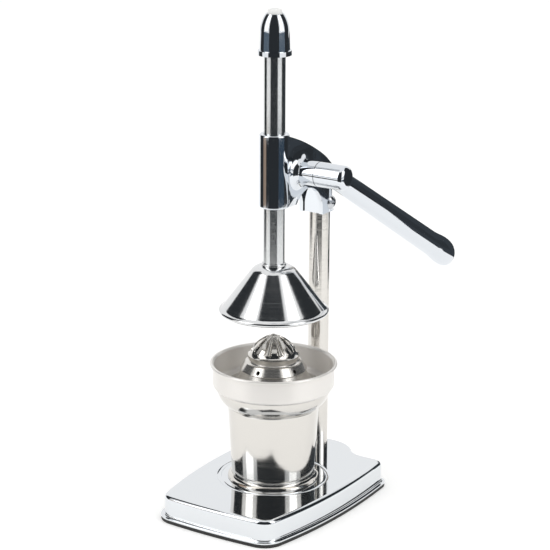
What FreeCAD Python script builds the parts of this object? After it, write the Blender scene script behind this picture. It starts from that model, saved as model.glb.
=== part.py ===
import FreeCAD, Part
import Sketcher
import math
import os

# Lever citrus juice press
# Millimetres, +Z up. The origin lies under the plunger's axis, on the table.
# +X is the side of the lever's hub, -Y the front, +Y the column at the back.

# Driving dimensions: name, value, what it is
SIZES = [
    ("mat_thick", 3.5, "rubber mat under the base"),
    ("base_top", 24.0, "height of the base's top face"),
    ("shell_wall", 1.4, "sheet of the pressed base"),
    ("flange_wide", 3.6, "hem flange at the foot of the skirt"),
    ("top_round", 4.0, "rounded edge between top and skirt"),
    ("hem_round", 1.6, "hollow curve between skirt and hem"),
    ("front_mid", 101.0, "front edge of the hem at the middle"),
    ("front_side", 98.5, "front edge of the hem at its corners"),
    ("half_front", 66.5, "half width of the hem at the front corners"),
    ("half_mid", 73.0, "half width of the hem at its widest"),
    ("widest_y", 12.0, "where the base is widest"),
    ("half_rear", 69.5, "half width of the hem at the rear corners"),
    ("rear_edge", 92.0, "straight rear edge of the hem"),
    ("bump_radius", 37.0, "rear bulge of the hem round the column"),
    ("front_corner", 15.0, "corner radius of the hem, front"),
    ("rear_corner", 12.0, "corner radius of the hem, rear"),
    ("bump_blend", 14.0, "hollow blend beside the rear bulge"),
    ("ring_radius", 47.5, "pressed ring round the cup's foot"),
    ("ring_tool", 2.0, "radius of the tool that pressed the ring"),
    ("ring_depth", 0.7, "depth of the pressed ring"),
    ("plate_half_x", 24.0, "stiffening plate, half its width"),
    ("plate_half_y", 14.0, "stiffening plate, half its depth"),
    ("plate_thick", 3.0, "stiffening plate"),
    ("column_y", 75.1, "column's axis behind the plunger's axis"),
    ("column_radius", 9.5, "column tube, outside"),
    ("column_bore", 8.0, "column tube, inside"),
    ("column_top", 294.5, "top end of the column"),
    ("plug_length", 30.0, "threaded plug in the column's foot"),
    ("bolt_radius", 5.0, "column bolt's shank"),
    ("bolt_reach", 22.0, "how far the bolt goes into the plug"),
    ("bolt_head", 6.4, "height of the bolt's hexagon"),
    ("bolt_flats", 17.0, "hexagon across flats"),
    ("bolt_washer_radius", 12.0, "washer under the bolt's head"),
    ("bolt_washer_thick", 2.0, "washer under the bolt's head"),
    ("fit_gap", 0.02, "fixed fits, radial"),
    ("run_gap", 0.05, "running fits, radial"),
    ("hole_gap", 0.2, "clearance holes, radial"),
    ("seat_gap", 0.3, "loose seats between pieces that lift off"),
    ("guide_radius", 13.2, "guide cylinder, outside"),
    ("guide_bottom", 276.0, "lower end of the guide"),
    ("guide_top", 341.8, "upper end of the guide"),
    ("guide_edge", 0.8, "broken edges of the guide"),
    ("web_half", 12.4, "half width of the casting's body"),
    ("web_wall", 3.8, "wall of the casting's body"),
    ("web_front_z", 336.5, "height of the body's top edge at the guide"),
    ("web_rear_y", 66.0, "where the top edge turns down"),
    ("web_rear_z", 304.5, "height where the top edge turns down"),
    ("web_top_radius", 210.0, "crown of the sloping top edge"),
    ("web_rear_radius", 24.0, "round behind the top edge"),
    ("web_back_z", 285.0, "where the round meets the socket's back"),
    ("arch_front_y", 17.5, "front foot of the arch under the body"),
    ("arch_top_y", 37.0, "crown of the arch"),
    ("arch_top_z", 287.0, "crown of the arch"),
    ("arch_rear_y", 60.5, "rear foot of the arch"),
    ("arch_rear_z", 266.0, "where the arch turns down beside the socket"),
    ("arch_front_radius", 26.0, "front of the arch"),
    ("arch_rear_radius", 27.0, "rear of the arch"),
    ("socket_radius", 13.0, "socket round the column, outside"),
    ("socket_bottom", 257.2, "lower end of the socket"),
    ("boss_end", 32.7, "end of the shaft's boss, lever side"),
    ("boss_radius", 11.0, "shaft's boss and lever's hub"),
    ("boss_flare", 5.0, "flare of the boss into the body"),
    ("far_boss", 2.2, "shaft's boss, far side, height"),
    ("lever_y", 21.475, "shaft's axis behind the plunger's axis"),
    ("lever_z", 305.4, "height of the shaft's axis"),
    ("screw_z", 265.4, "screw that clamps the socket"),
    ("screw_head_radius", 6.3, "its pan head"),
    ("screw_head_high", 3.4, "its pan head"),
    ("screw_radius", 2.9, "its shank"),
    ("rod_radius", 9.5, "plunger rod"),
    ("rod_bottom", 216.0, "lower end of the rod"),
    ("rod_top", 439.5, "upper end of the rod"),
    ("gear_module", 1.75, "module of rack and pinion"),
    ("teeth", 17.0, "teeth of the pinion"),
    ("pressure_angle", 20.0, "degrees, rack and pinion"),
    ("backlash", 0.16, "play between rack and pinion"),
    ("rack_below", 4.0, "rack gaps below the shaft's height at rest"),
    ("rack_above", 11.0, "rack gaps above the shaft's height at rest"),
    ("cone_rim_radius", 48.9, "press cone, outer rim"),
    ("cone_rim_z", 180.8, "press cone, lowest edge"),
    ("cone_lip", 1.3, "thickness of the rolled lip"),
    ("cone_root_radius", 46.6, "where the lip leaves the cone"),
    ("cone_root_z", 183.9, "where the lip leaves the cone"),
    ("cone_shoulder_radius", 20.0, "where the cone turns over"),
    ("cone_shoulder_z", 218.5, "where the cone turns over"),
    ("cone_shoulder_round", 10.5, "round of the shoulder"),
    ("cone_top_radius", 12.0, "flat top of the cone"),
    ("cone_top_z", 222.5, "flat top of the cone"),
    ("cone_wall", 2.2, "wall of the cone"),
    ("cone_hub_radius", 13.0, "boss inside the cone"),
    ("cone_hub_floor", 2.5, "metal under the rod's end"),
    ("cone_screw_radius", 3.0, "screw through the cone into the rod"),
    ("cone_screw_head", 3.2, "height of its head"),
    ("cone_screw_head_radius", 5.6, "radius of its head"),
    ("cone_screw_reach", 16.0, "its length inside the rod"),
    ("cone_washer_radius", 8.0, "washer under its head"),
    ("cone_washer_thick", 1.0, "washer under its head"),
    ("cap_skirt", 28.7, "how far the cap reaches down over the rod"),
    ("cap_flange_radius", 14.8, "cap's flange"),
    ("cap_flange_high", 4.1, "height of the cap's flange"),
    ("cap_radius", 13.35, "cap's body above the flange"),
    ("cap_waist_radius", 12.85, "cap's body below the dome"),
    ("cap_waist_down", 8.5, "where the dome begins, below the rod's end"),
    ("cap_dome_round", 28.0, "round of the dome"),
    ("cap_top_radius", 8.0, "mouth of the cap's recess, outer edge"),
    ("cap_top_up", 7.0, "top edge of the cap, above the rod's end"),
    ("cap_roof", 2.4, "metal over the rod's end"),
    ("cap_recess_radius", 6.9, "recess in the cap's top"),
    ("cap_plug_radius", 6.2, "disc of the plug that stands out of the recess"),
    ("cap_plug_sink", 1.0, "shoulder of the plug below the cap's top edge"),
    ("cap_plug_edge_up", 3.0, "edge of the plug above the cap's top edge"),
    ("cap_plug_crown", 0.8, "crown of the plug above its edge"),
    ("cap_plug_flat", 2.2, "how far the crown's flat stays in from the edge"),
    ("cap_plug_round", 3.5, "rounded edge of the plug"),
    ("cap_screw_radius", 2.5, "screw under the plug"),
    ("cap_screw_head", 2.4, "height of its head"),
    ("cap_screw_head_radius", 4.5, "radius of its head"),
    ("cap_screw_reach", 12.0, "its length inside the rod"),
    ("shaft_radius", 7.0, "lever's shaft"),
    ("washer_thick", 0.6, "thrust washers on the shaft"),
    ("thrust_radius", 9.8, "thrust washers on the shaft"),
    ("hub_end", 62.4, "outer end of the lever's hub"),
    ("hub_round", 5.0, "rounded end of the hub"),
    ("shaft_seat", 24.0, "depth of the shaft in the hub"),
    ("arm_x", 50.0, "middle plane of the arm"),
    ("arm_drop", 30.0, "degrees, arm below level at the back"),
    ("arm_root_half", 8.5, "half width of the arm at the shaft"),
    ("arm_neck_half", 10.1, "half width where the end flares"),
    ("arm_neck_at", 204.0, "where the end flares"),
    ("arm_knob_half", 12.7, "half width of the flared end"),
    ("arm_knob_at", 224.0, "widest place of the flared end"),
    ("arm_length", 246.0, "shaft's axis to the tip"),
    ("arm_flatness", 0.76, "arm's thickness over its width"),
    ("grub_x", 38.0, "set screw in the hub"),
    ("grub_radius", 3.0, "set screw in the hub"),
    ("grub_sink", 0.8, "set screw below the hub's surface"),
    ("pinion_half", 7.7, "half length of the pinion"),
    ("pin_radius", 1.5, "pin through pinion and shaft"),
    ("pin_half", 11.8, "half length of the pin"),
    ("end_washer_radius", 10.0, "washer on the shaft's far end"),
    ("end_washer_thick", 1.5, "washer on the shaft's far end"),
    ("end_screw_radius", 2.5, "screw in the shaft's far end"),
    ("end_screw_head", 3.2, "height of its head"),
    ("end_screw_head_radius", 5.0, "radius of its head"),
    ("end_screw_reach", 8.0, "its length inside the shaft"),
    ("cup_foot_radius", 41.2, "bead at the cup's foot"),
    ("cup_foot_high", 2.6, "bead at the cup's foot"),
    ("cup_base_radius", 37.4, "cup's wall above the foot"),
    ("cup_body_radius", 40.95, "cup's wall at its upper end"),
    ("cup_body_high", 54.0, "upper end of the cup's straight wall"),
    ("cup_throat_radius", 46.7, "shoulder of the cup's mouth"),
    ("cup_throat_high", 70.5, "shoulder of the cup's mouth"),
    ("cup_neck_radius", 47.8, "mouth above the shoulder"),
    ("cup_neck_high", 76.5, "mouth above the shoulder"),
    ("cup_rim_radius", 51.5, "rim of the cup"),
    ("cup_high", 84.4, "cup's rim above the base"),
    ("cup_wall", 1.0, "cup's sheet"),
    ("cup_floor_lift", 2.0, "cup's floor above the base"),
    ("tray_rim_radius", 57.1, "rolled rim of the tray"),
    ("tray_rim_z", 133.0, "top of the rolled rim"),
    ("tray_roll", 1.4, "radius of the rolled rim"),
    ("tray_radius", 54.4, "tray's wall, outside"),
    ("tray_wall", 1.0, "tray's sheet"),
    ("tray_corner", 4.0, "round between wall and floor"),
    ("tray_step_radius", 47.2, "step that drops into the cup"),
    ("tray_step_deep", 3.0, "step that drops into the cup"),
    ("drain_radius", 27.0, "drain in the middle of the tray"),
    ("drain_lip", 4.0, "turned-down edge of the drain"),
    ("ring_flange_radius", 44.5, "strainer's flange on the tray's floor"),
    ("ring_foot_radius", 33.0, "where the flange turns up"),
    ("collar_bottom_radius", 29.6, "strainer's collar, lower edge"),
    ("collar_bottom_z", 117.0, "strainer's collar, lower edge"),
    ("collar_top_radius", 28.4, "strainer's collar, upper edge"),
    ("collar_top_z", 127.0, "strainer's collar, upper edge"),
    ("neck_radius", 22.2, "strainer's neck"),
    ("neck_z", 133.0, "lower end of the neck"),
    ("neck_top", 136.0, "top of the neck"),
    ("strainer_wall", 1.0, "strainer's sheet"),
    ("strainer_holes", 6.0, "juice holes in the collar"),
    ("strainer_hole_radius", 1.8, "juice holes in the collar"),
    ("strainer_hole_z", 122.2, "juice holes in the collar"),
    ("strainer_hole_first", -22.0, "degrees, first hole from +X"),
    ("reamer_radius", 23.0, "reamer's foot"),
    ("reamer_foot", 2.2, "thickness of the reamer's foot"),
    ("reamer_waist_radius", 19.5, "reamer above its foot"),
    ("reamer_waist_high", 5.0, "reamer above its foot"),
    ("reamer_top", 157.5, "point of the reamer"),
    ("reamer_round", 27.0, "bow of the reamer's side"),
    ("reamer_tip_radius", 3.0, "blunt point of the reamer"),
    ("reamer_spigot", 6.0, "spigot in the strainer's neck"),
    ("flutes", 10.0, "flutes of the reamer"),
    ("flute_radius", 3.4, "flute's radius at the foot"),
    ("flute_deep", 2.0, "depth of a flute at the foot"),
    ("flute_taper", 0.3, "flute's radius at the point over that at the foot"),
]


class Size:
    """A size of the sheet, or one worked out from sizes: its number and its formula."""

    def __init__(self, number, formula):
        self.number = float(number)
        self.formula = formula

    def __add__(self, other):
        other = size_of(other)
        return Size(self.number + other.number, "(%s + %s)" % (self.formula, other.formula))

    def __sub__(self, other):
        other = size_of(other)
        return Size(self.number - other.number, "(%s - %s)" % (self.formula, other.formula))

    def __mul__(self, other):
        other = size_of(other)
        return Size(self.number * other.number, "(%s * %s)" % (self.formula, other.formula))

    def __truediv__(self, other):
        other = size_of(other)
        return Size(self.number / other.number, "(%s / %s)" % (self.formula, other.formula))

    def __neg__(self):
        return Size(-self.number, "(0 - %s)" % self.formula)

    def __float__(self):
        return self.number


def size_of(value):
    if isinstance(value, Size):
        return value
    return Size(value, repr(float(value)))


class Sizes:
    """The sheet's sizes, by name."""


doc = FreeCAD.newDocument("citrus_press")
sheet = doc.addObject("Spreadsheet::Sheet", "Sizes")
D = Sizes()
for row, (alias, number, meaning) in enumerate(SIZES, start=1):
    sheet.set("A%d" % row, alias)
    sheet.set("B%d" % row, repr(number))
    sheet.set("C%d" % row, meaning)
    sheet.setAlias("B%d" % row, alias)
    setattr(D, alias, Size(number, "Sizes." + alias))
doc.recompute()

ZERO = Size(0.0, "0")
PIECES = []


def bind(thing, name, size):
    """Ties a property of an object to a formula of sheet sizes."""
    thing.setExpression(name, size_of(size).formula)


# Directions, as the turn that takes +Z to them
TURNS = {
    "+Z": FreeCAD.Rotation(),
    "-Z": FreeCAD.Rotation(FreeCAD.Vector(1, 0, 0), 180),
    "+X": FreeCAD.Rotation(FreeCAD.Vector(0, 1, 0), 90),
    "-X": FreeCAD.Rotation(FreeCAD.Vector(0, 1, 0), -90),
    "+Y": FreeCAD.Rotation(FreeCAD.Vector(1, 0, 0), -90),
    "-Y": FreeCAD.Rotation(FreeCAD.Vector(1, 0, 0), 90),
}


def place(thing, x=ZERO, y=ZERO, z=ZERO, turn=None):
    """Puts an object at x, y, z, with each of them tied to the sheet."""
    if turn is not None:
        thing.Placement = FreeCAD.Placement(FreeCAD.Vector(), turn)
    for axis, size in (("x", x), ("y", y), ("z", z)):
        bind(thing, "Placement.Base." + axis, size)
    return thing


def piece(thing, name):
    """Marks an object as a piece of the press, under its node's name."""
    thing.Label = name
    PIECES.append(thing)
    return thing


def cylinder(name, radius, length, x=ZERO, y=ZERO, z=ZERO, along="+Z"):
    solid = doc.addObject("Part::Cylinder", name)
    bind(solid, "Radius", radius)
    bind(solid, "Height", length)
    return place(solid, x, y, z, TURNS[along])


def box(name, low, high):
    """A box between two corners."""
    solid = doc.addObject("Part::Box", name)
    bind(solid, "Length", size_of(high[0]) - low[0])
    bind(solid, "Width", size_of(high[1]) - low[1])
    bind(solid, "Height", size_of(high[2]) - low[2])
    return place(solid, low[0], low[1], low[2])


def fuse(name, solids):
    joined = doc.addObject("Part::MultiFuse", name)
    joined.Shapes = solids
    return joined


def cut(name, base, tools):
    """The base less its tools."""
    tool = tools[0]
    if len(tools) > 1:
        tool = fuse(name + "_tools", tools)
    result = doc.addObject("Part::Cut", name)
    result.Base = base
    result.Tool = tool
    return result


def common(name, first, second):
    result = doc.addObject("Part::MultiCommon", name)
    result.Shapes = [first, second]
    return result


def new_body(name):
    return doc.addObject("PartDesign::Body", name)


def origin_plane(body, role):
    for feature in body.Origin.OriginFeatures:
        if feature.Role == role:
            return feature
    raise ValueError("no plane " + role)


def arc_centre(start, end, radius):
    """Centre of the arc from start to end; a negative radius turns clockwise."""
    dx = end[0] - start[0]
    dy = end[1] - start[1]
    chord = math.hypot(dx, dy)
    rise = math.sqrt(max(radius * radius - chord * chord / 4, 0.0))
    side = 1 if radius > 0 else -1
    return (
        (start[0] + end[0]) / 2 - side * rise * dy / chord,
        (start[1] + end[1]) / 2 + side * rise * dx / chord,
    )


def outline(body, name, role, points, at=None):
    """A closed sketch through points (x, y), tied to the sheet.

    A third item in a point is the radius of the arc that arrives there:
    positive turns left, negative turns right.
    """
    sketch = body.newObject("Sketcher::SketchObject", name)
    sketch.AttachmentSupport = [(origin_plane(body, role), "")]
    sketch.MapMode = "FlatFace"
    if at is not None:
        bind(sketch, "AttachmentOffset.Base.z", at)
    count = len(points)
    ends = []
    for number in range(count):
        first = points[number]
        last = points[(number + 1) % count]
        start = (float(first[0]), float(first[1]))
        end = (float(last[0]), float(last[1]))
        if len(last) == 2:
            line = Part.LineSegment(FreeCAD.Vector(*start), FreeCAD.Vector(*end))
            edge = sketch.addGeometry(line, False)
            ends.append((edge, 1, 2))
            continue
        radius = size_of(last[2])
        centre = arc_centre(start, end, radius.number)
        circle = Part.Circle(FreeCAD.Vector(*centre), FreeCAD.Vector(0, 0, 1), abs(radius.number))
        from_angle = math.atan2(start[1] - centre[1], start[0] - centre[0])
        to_angle = math.atan2(end[1] - centre[1], end[0] - centre[0])
        if radius.number > 0:
            edge = sketch.addGeometry(Part.ArcOfCircle(circle, from_angle, to_angle), False)
            ends.append((edge, 1, 2))
            length = radius
        else:
            edge = sketch.addGeometry(Part.ArcOfCircle(circle, to_angle, from_angle), False)
            ends.append((edge, 2, 1))
            length = -radius
        row = sketch.addConstraint(Sketcher.Constraint("Radius", edge, length.number))
        bind(sketch, "Constraints[%d]" % row, length)
    for number in range(count):
        edge, start, end = ends[number]
        follower, next_start, next_end = ends[(number + 1) % count]
        sketch.addConstraint(Sketcher.Constraint("Coincident", edge, end, follower, next_start))
        for kind, size in (("DistanceX", points[number][0]), ("DistanceY", points[number][1])):
            size = size_of(size)
            row = sketch.addConstraint(Sketcher.Constraint(kind, -1, 1, edge, start, size.number))
            bind(sketch, "Constraints[%d]" % row, size)
    return sketch


def turned(name, points, axis="V_Axis", x=ZERO, y=ZERO, z=ZERO):
    """A body turned about its own Z (V_Axis) or X (H_Axis) from a half section."""
    body = new_body(name)
    sketch = outline(body, name + "_section", "XZ_Plane", points)
    feature = body.newObject("PartDesign::Revolution", name + "_turned")
    feature.Profile = sketch
    feature.ReferenceAxis = (sketch, [axis])
    feature.Angle = 360.0
    sketch.Visibility = False
    return place(body, x, y, z)


def padded(name, role, points, length, x=ZERO, y=ZERO, z=ZERO, at=None):
    """A body of one outline, grown to both sides of its plane, or up from a height."""
    body = new_body(name)
    sketch = outline(body, name + "_outline", role, points, at)
    feature = body.newObject("PartDesign::Pad", name + "_pad")
    feature.Profile = sketch
    feature.Midplane = at is None
    bind(feature, "Length", length)
    sketch.Visibility = False
    return place(body, x, y, z)


# Base outline


def hem_face():
    """The hem's outline without its bulge and its corner rounds, at height 0."""
    front = D.front_side.number
    rear = D.rear_edge.number
    corners = [
        FreeCAD.Vector(-D.half_front.number, -front, 0),
        FreeCAD.Vector(D.half_front.number, -front, 0),
        FreeCAD.Vector(D.half_rear.number, rear, 0),
        FreeCAD.Vector(-D.half_rear.number, rear, 0),
    ]
    nose = FreeCAD.Vector(0, -D.front_mid.number, 0)
    right = FreeCAD.Vector(D.half_mid.number, D.widest_y.number, 0)
    left = FreeCAD.Vector(-D.half_mid.number, D.widest_y.number, 0)
    edges = [
        Part.Arc(corners[0], nose, corners[1]).toShape(),
        Part.Arc(corners[1], right, corners[2]).toShape(),
        Part.LineSegment(corners[2], corners[3]).toShape(),
        Part.Arc(corners[3], left, corners[0]).toShape(),
    ]
    return Part.Face(Part.Wire(edges))


def upright_edges(solid):
    """The solid's edges that stand upright."""
    found = []
    for edge in solid.Edges:
        start = edge.Vertexes[0].Point
        end = edge.Vertexes[-1].Point
        if math.hypot(start.x - end.x, start.y - end.y) < 1e-4 and abs(start.z - end.z) > 1e-3:
            found.append(edge)
    return found


def base_slab(inset, low, high):
    """The base's outline, drawn in by inset, between two heights."""
    face = hem_face()
    if inset > 0:
        face = Part.Face(face.OuterWire.makeOffset2D(-inset, 2, False, False, False))
    column_y = D.column_y.number
    slab = face.extrude(FreeCAD.Vector(0, 0, high - low))
    bulge = Part.makeCylinder(D.bump_radius.number - inset, high - low, FreeCAD.Vector(0, column_y, 0))
    solid = slab.fuse(bulge).removeSplitter()
    fronts = []
    rears = []
    blends = []
    for edge in upright_edges(solid):
        spot = edge.Vertexes[0].Point
        if spot.y < 0:
            fronts.append(edge)
        elif abs(spot.x) > D.bump_radius.number:
            rears.append(edge)
        elif abs(spot.x) > 1:
            blends.append(edge)
    solid = solid.makeFillet(D.front_corner.number - inset, fronts)
    solid = round_uprights(solid, D.rear_corner.number - inset, rears)
    solid = round_uprights(solid, D.bump_blend.number + inset, blends)
    solid.translate(FreeCAD.Vector(0, 0, low))
    return solid


def round_uprights(solid, radius, wanted):
    """Rounds the upright edges that stand where the wanted ones stood."""
    spots = [edge.Vertexes[0].Point for edge in wanted]
    found = []
    for edge in upright_edges(solid):
        place_now = edge.Vertexes[0].Point
        for spot in spots:
            if math.hypot(place_now.x - spot.x, place_now.y - spot.y) < 0.01:
                found.append(edge)
    return solid.makeFillet(radius, found)


def level_edges(solid, height):
    """The solid's edges that lie at one height."""
    found = []
    for edge in solid.Edges:
        box_now = edge.BoundBox
        if abs(box_now.ZMin - height) < 1e-4 and abs(box_now.ZMax - height) < 1e-4:
            found.append(edge)
    return found


def make_base_shell():
    """Pressed sheet: flat top, rounded edge, skirt and a hem flange at its foot."""
    low = D.mat_thick.number
    high = D.base_top.number
    wall = D.shell_wall.number
    flange = D.flange_wide.number
    outer = base_slab(flange, low, high)
    hem = base_slab(0.0, low, low + wall)
    solid = outer.fuse(hem).removeSplitter()
    solid = solid.makeFillet(D.top_round.number, level_edges(solid, high))
    foot = []
    for edge in level_edges(solid, low + wall):
        middle = edge.valueAt((edge.FirstParameter + edge.LastParameter) / 2)
        if outer.isInside(middle, 0.01, True):
            foot.append(edge)
    solid = solid.makeFillet(D.hem_round.number, foot)
    inner = base_slab(flange + wall, low, high - wall)
    inner = inner.makeFillet(D.top_round.number - wall, level_edges(inner, high - wall))
    solid = solid.cut(inner)
    tool = D.ring_tool.number
    ring = Part.makeTorus(D.ring_radius.number, tool, FreeCAD.Vector(0, 0, high + tool - D.ring_depth.number))
    solid = solid.cut(ring)
    bolt = Part.makeCylinder(
        D.bolt_radius.number + D.hole_gap.number,
        high,
        FreeCAD.Vector(0, D.column_y.number, 0),
    )
    solid = solid.cut(bolt)
    shell = doc.addObject("Part::Feature", "base_shell")
    shell.Shape = solid
    return piece(shell, "base_shell")


def make_base_mat():
    """Rubber mat that closes the base's underside and shows as a dark line under the hem."""
    solid = base_slab(D.hole_gap.number, 0.0, D.mat_thick.number)
    mat = doc.addObject("Part::Feature", "base_mat")
    mat.Shape = solid
    return piece(mat, "base_mat")


def make_column_group():
    """Column tube, its threaded plug, and what bolts it to the base from below."""
    under = D.base_top - D.shell_wall
    plate_low = under - D.plate_thick
    plate = box(
        "plate_blank",
        (-D.plate_half_x, D.column_y - D.plate_half_y, plate_low),
        (D.plate_half_x, D.column_y + D.plate_half_y, under),
    )
    plate_hole = cylinder("plate_hole", D.bolt_radius + D.hole_gap, D.plate_thick, ZERO, D.column_y, plate_low)
    piece(cut("base_plate", plate, [plate_hole]), "base_plate")

    washer_low = plate_low - D.bolt_washer_thick
    washer = turned(
        "bolt_washer",
        [
            (D.bolt_radius + D.hole_gap, washer_low),
            (D.bolt_washer_radius, washer_low),
            (D.bolt_washer_radius, plate_low),
            (D.bolt_radius + D.hole_gap, plate_low),
        ],
        y=D.column_y,
    )
    piece(washer, "bolt_washer")

    head = doc.addObject("Part::Prism", "bolt_hexagon")
    head.Polygon = 6
    bind(head, "Circumradius", D.bolt_flats / math.sqrt(3))
    bind(head, "Height", D.bolt_head)
    place(head, ZERO, D.column_y, washer_low - D.bolt_head)
    shank = cylinder(
        "bolt_shank",
        D.bolt_radius - D.fit_gap,
        D.base_top + D.bolt_reach - washer_low,
        ZERO,
        D.column_y,
        washer_low,
    )
    piece(fuse("column_bolt", [head, shank]), "column_bolt")

    plug = turned(
        "column_plug",
        [
            (D.bolt_radius, D.base_top),
            (D.column_bore - D.fit_gap, D.base_top),
            (D.column_bore - D.fit_gap, D.base_top + D.plug_length),
            (D.bolt_radius, D.base_top + D.plug_length),
        ],
        y=D.column_y,
    )
    piece(plug, "column_plug")

    tube = turned(
        "column_tube",
        [
            (D.column_bore, D.base_top),
            (D.column_radius, D.base_top),
            (D.column_radius, D.column_top),
            (D.column_bore, D.column_top),
        ],
        y=D.column_y,
    )
    hole = cylinder(
        "column_screw_hole",
        D.screw_radius + D.run_gap,
        D.column_radius,
        ZERO,
        D.column_y,
        D.screw_z,
        "+X",
    )
    piece(cut("column", tube, [hole]), "column")


# Casting that carries the plunger and the lever on the column


def make_guide_casting():
    """One casting: guide in front, hollow open-bottomed body, socket behind, boss to the side."""
    half = D.web_half
    side = padded(
        "casting_side",
        "YZ_Plane",
        [
            (ZERO, D.guide_bottom),
            (D.arch_front_y, D.guide_bottom),
            (D.arch_top_y, D.arch_top_z, -D.arch_front_radius),
            (D.arch_rear_y, D.arch_rear_z, -D.arch_rear_radius),
            (D.arch_rear_y, D.socket_bottom),
            (D.column_y + D.socket_radius, D.socket_bottom),
            (D.column_y + D.socket_radius, D.web_back_z),
            (D.web_rear_y, D.web_rear_z, D.web_rear_radius),
            (ZERO, D.web_front_z, D.web_top_radius),
        ],
        D.socket_radius * 2,
    )
    spine = box(
        "casting_spine",
        (-half, ZERO, D.socket_bottom),
        (half, D.column_y, D.guide_top),
    )
    heel = cylinder(
        "casting_heel",
        D.socket_radius,
        D.guide_top - D.socket_bottom,
        ZERO,
        D.column_y,
        D.socket_bottom,
    )
    plan = fuse("casting_plan", [spine, heel])
    web = common("casting_web", side, plan)

    guide = turned(
        "casting_guide",
        [
            (ZERO, D.guide_bottom),
            (D.guide_radius - D.guide_edge, D.guide_bottom),
            (D.guide_radius, D.guide_bottom + D.guide_edge),
            (D.guide_radius, D.guide_top - D.guide_edge),
            (D.guide_radius - D.guide_edge, D.guide_top),
            (ZERO, D.guide_top),
        ],
    )
    boss = turned(
        "casting_boss",
        [
            (-half - D.far_boss, ZERO),
            (D.boss_end, ZERO),
            (D.boss_end, D.boss_radius),
            (half + D.boss_flare, D.boss_radius),
            (half, D.boss_radius + D.boss_flare, -D.boss_flare),
            (-half, D.boss_radius + D.boss_flare),
            (-half, D.boss_radius),
            (-half - D.far_boss, D.boss_radius),
        ],
        "H_Axis",
        ZERO,
        D.lever_y,
        D.lever_z,
    )
    solid = fuse("casting_solid", [web, guide, boss])

    rod_bore = cylinder(
        "rod_bore",
        D.rod_radius + D.run_gap,
        D.guide_top - D.guide_bottom + 2,
        ZERO,
        ZERO,
        D.guide_bottom - 1,
    )
    column_bore = cylinder(
        "column_bore",
        D.column_radius + D.fit_gap,
        D.column_top + D.run_gap - D.socket_bottom + 1,
        ZERO,
        D.column_y,
        D.socket_bottom - 1,
    )
    shaft_bore = cylinder(
        "shaft_bore",
        D.shaft_radius + D.run_gap,
        D.boss_end + half + D.far_boss + 2,
        -half - D.far_boss - 1,
        D.lever_y,
        D.lever_z,
        "+X",
    )
    wall = D.web_wall
    room_front = D.guide_radius
    room_back = D.column_y - D.socket_radius - D.run_gap
    hollow = padded(
        "casting_hollow",
        "YZ_Plane",
        [
            (room_front, D.guide_bottom - 1),
            (D.arch_front_y, D.guide_bottom - 1),
            (D.arch_front_y, D.socket_bottom - 1),
            (room_back, D.socket_bottom - 1),
            (room_back, D.web_rear_z - wall),
            (room_front, D.web_front_z - wall * 2.4, D.web_top_radius),
        ],
        (half - wall) * 2,
    )
    pinion_room = cylinder(
        "pinion_room",
        D.gear_module * (D.teeth + 2) / 2 + D.seat_gap * 2,
        (half - wall) * 2,
        -half + wall,
        D.lever_y,
        D.lever_z,
        "+X",
    )
    spot_face = cylinder(
        "spot_face",
        D.screw_head_radius + D.run_gap,
        D.socket_radius,
        half,
        D.column_y,
        D.screw_z,
        "+X",
    )
    screw_hole = cylinder(
        "screw_hole",
        D.screw_radius + D.run_gap,
        D.socket_radius,
        ZERO,
        D.column_y,
        D.screw_z,
        "+X",
    )
    tools = [rod_bore, column_bore, shaft_bore, hollow, pinion_room, spot_face, screw_hole]
    piece(cut("guide_casting", solid, tools), "guide_casting")

    screw = turned(
        "column_screw",
        [
            (D.column_bore, ZERO),
            (half + D.screw_head_high, ZERO),
            (half, D.screw_head_radius, D.screw_head_radius * 1.15),
            (half, D.screw_radius),
            (D.column_bore, D.screw_radius),
        ],
        "H_Axis",
        ZERO,
        D.column_y,
        D.screw_z,
    )
    piece(screw, "column_screw")


# Plunger


def tooth_depths():
    """Addendum and dedendum of rack and pinion."""
    return D.gear_module, D.gear_module * 1.25


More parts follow.
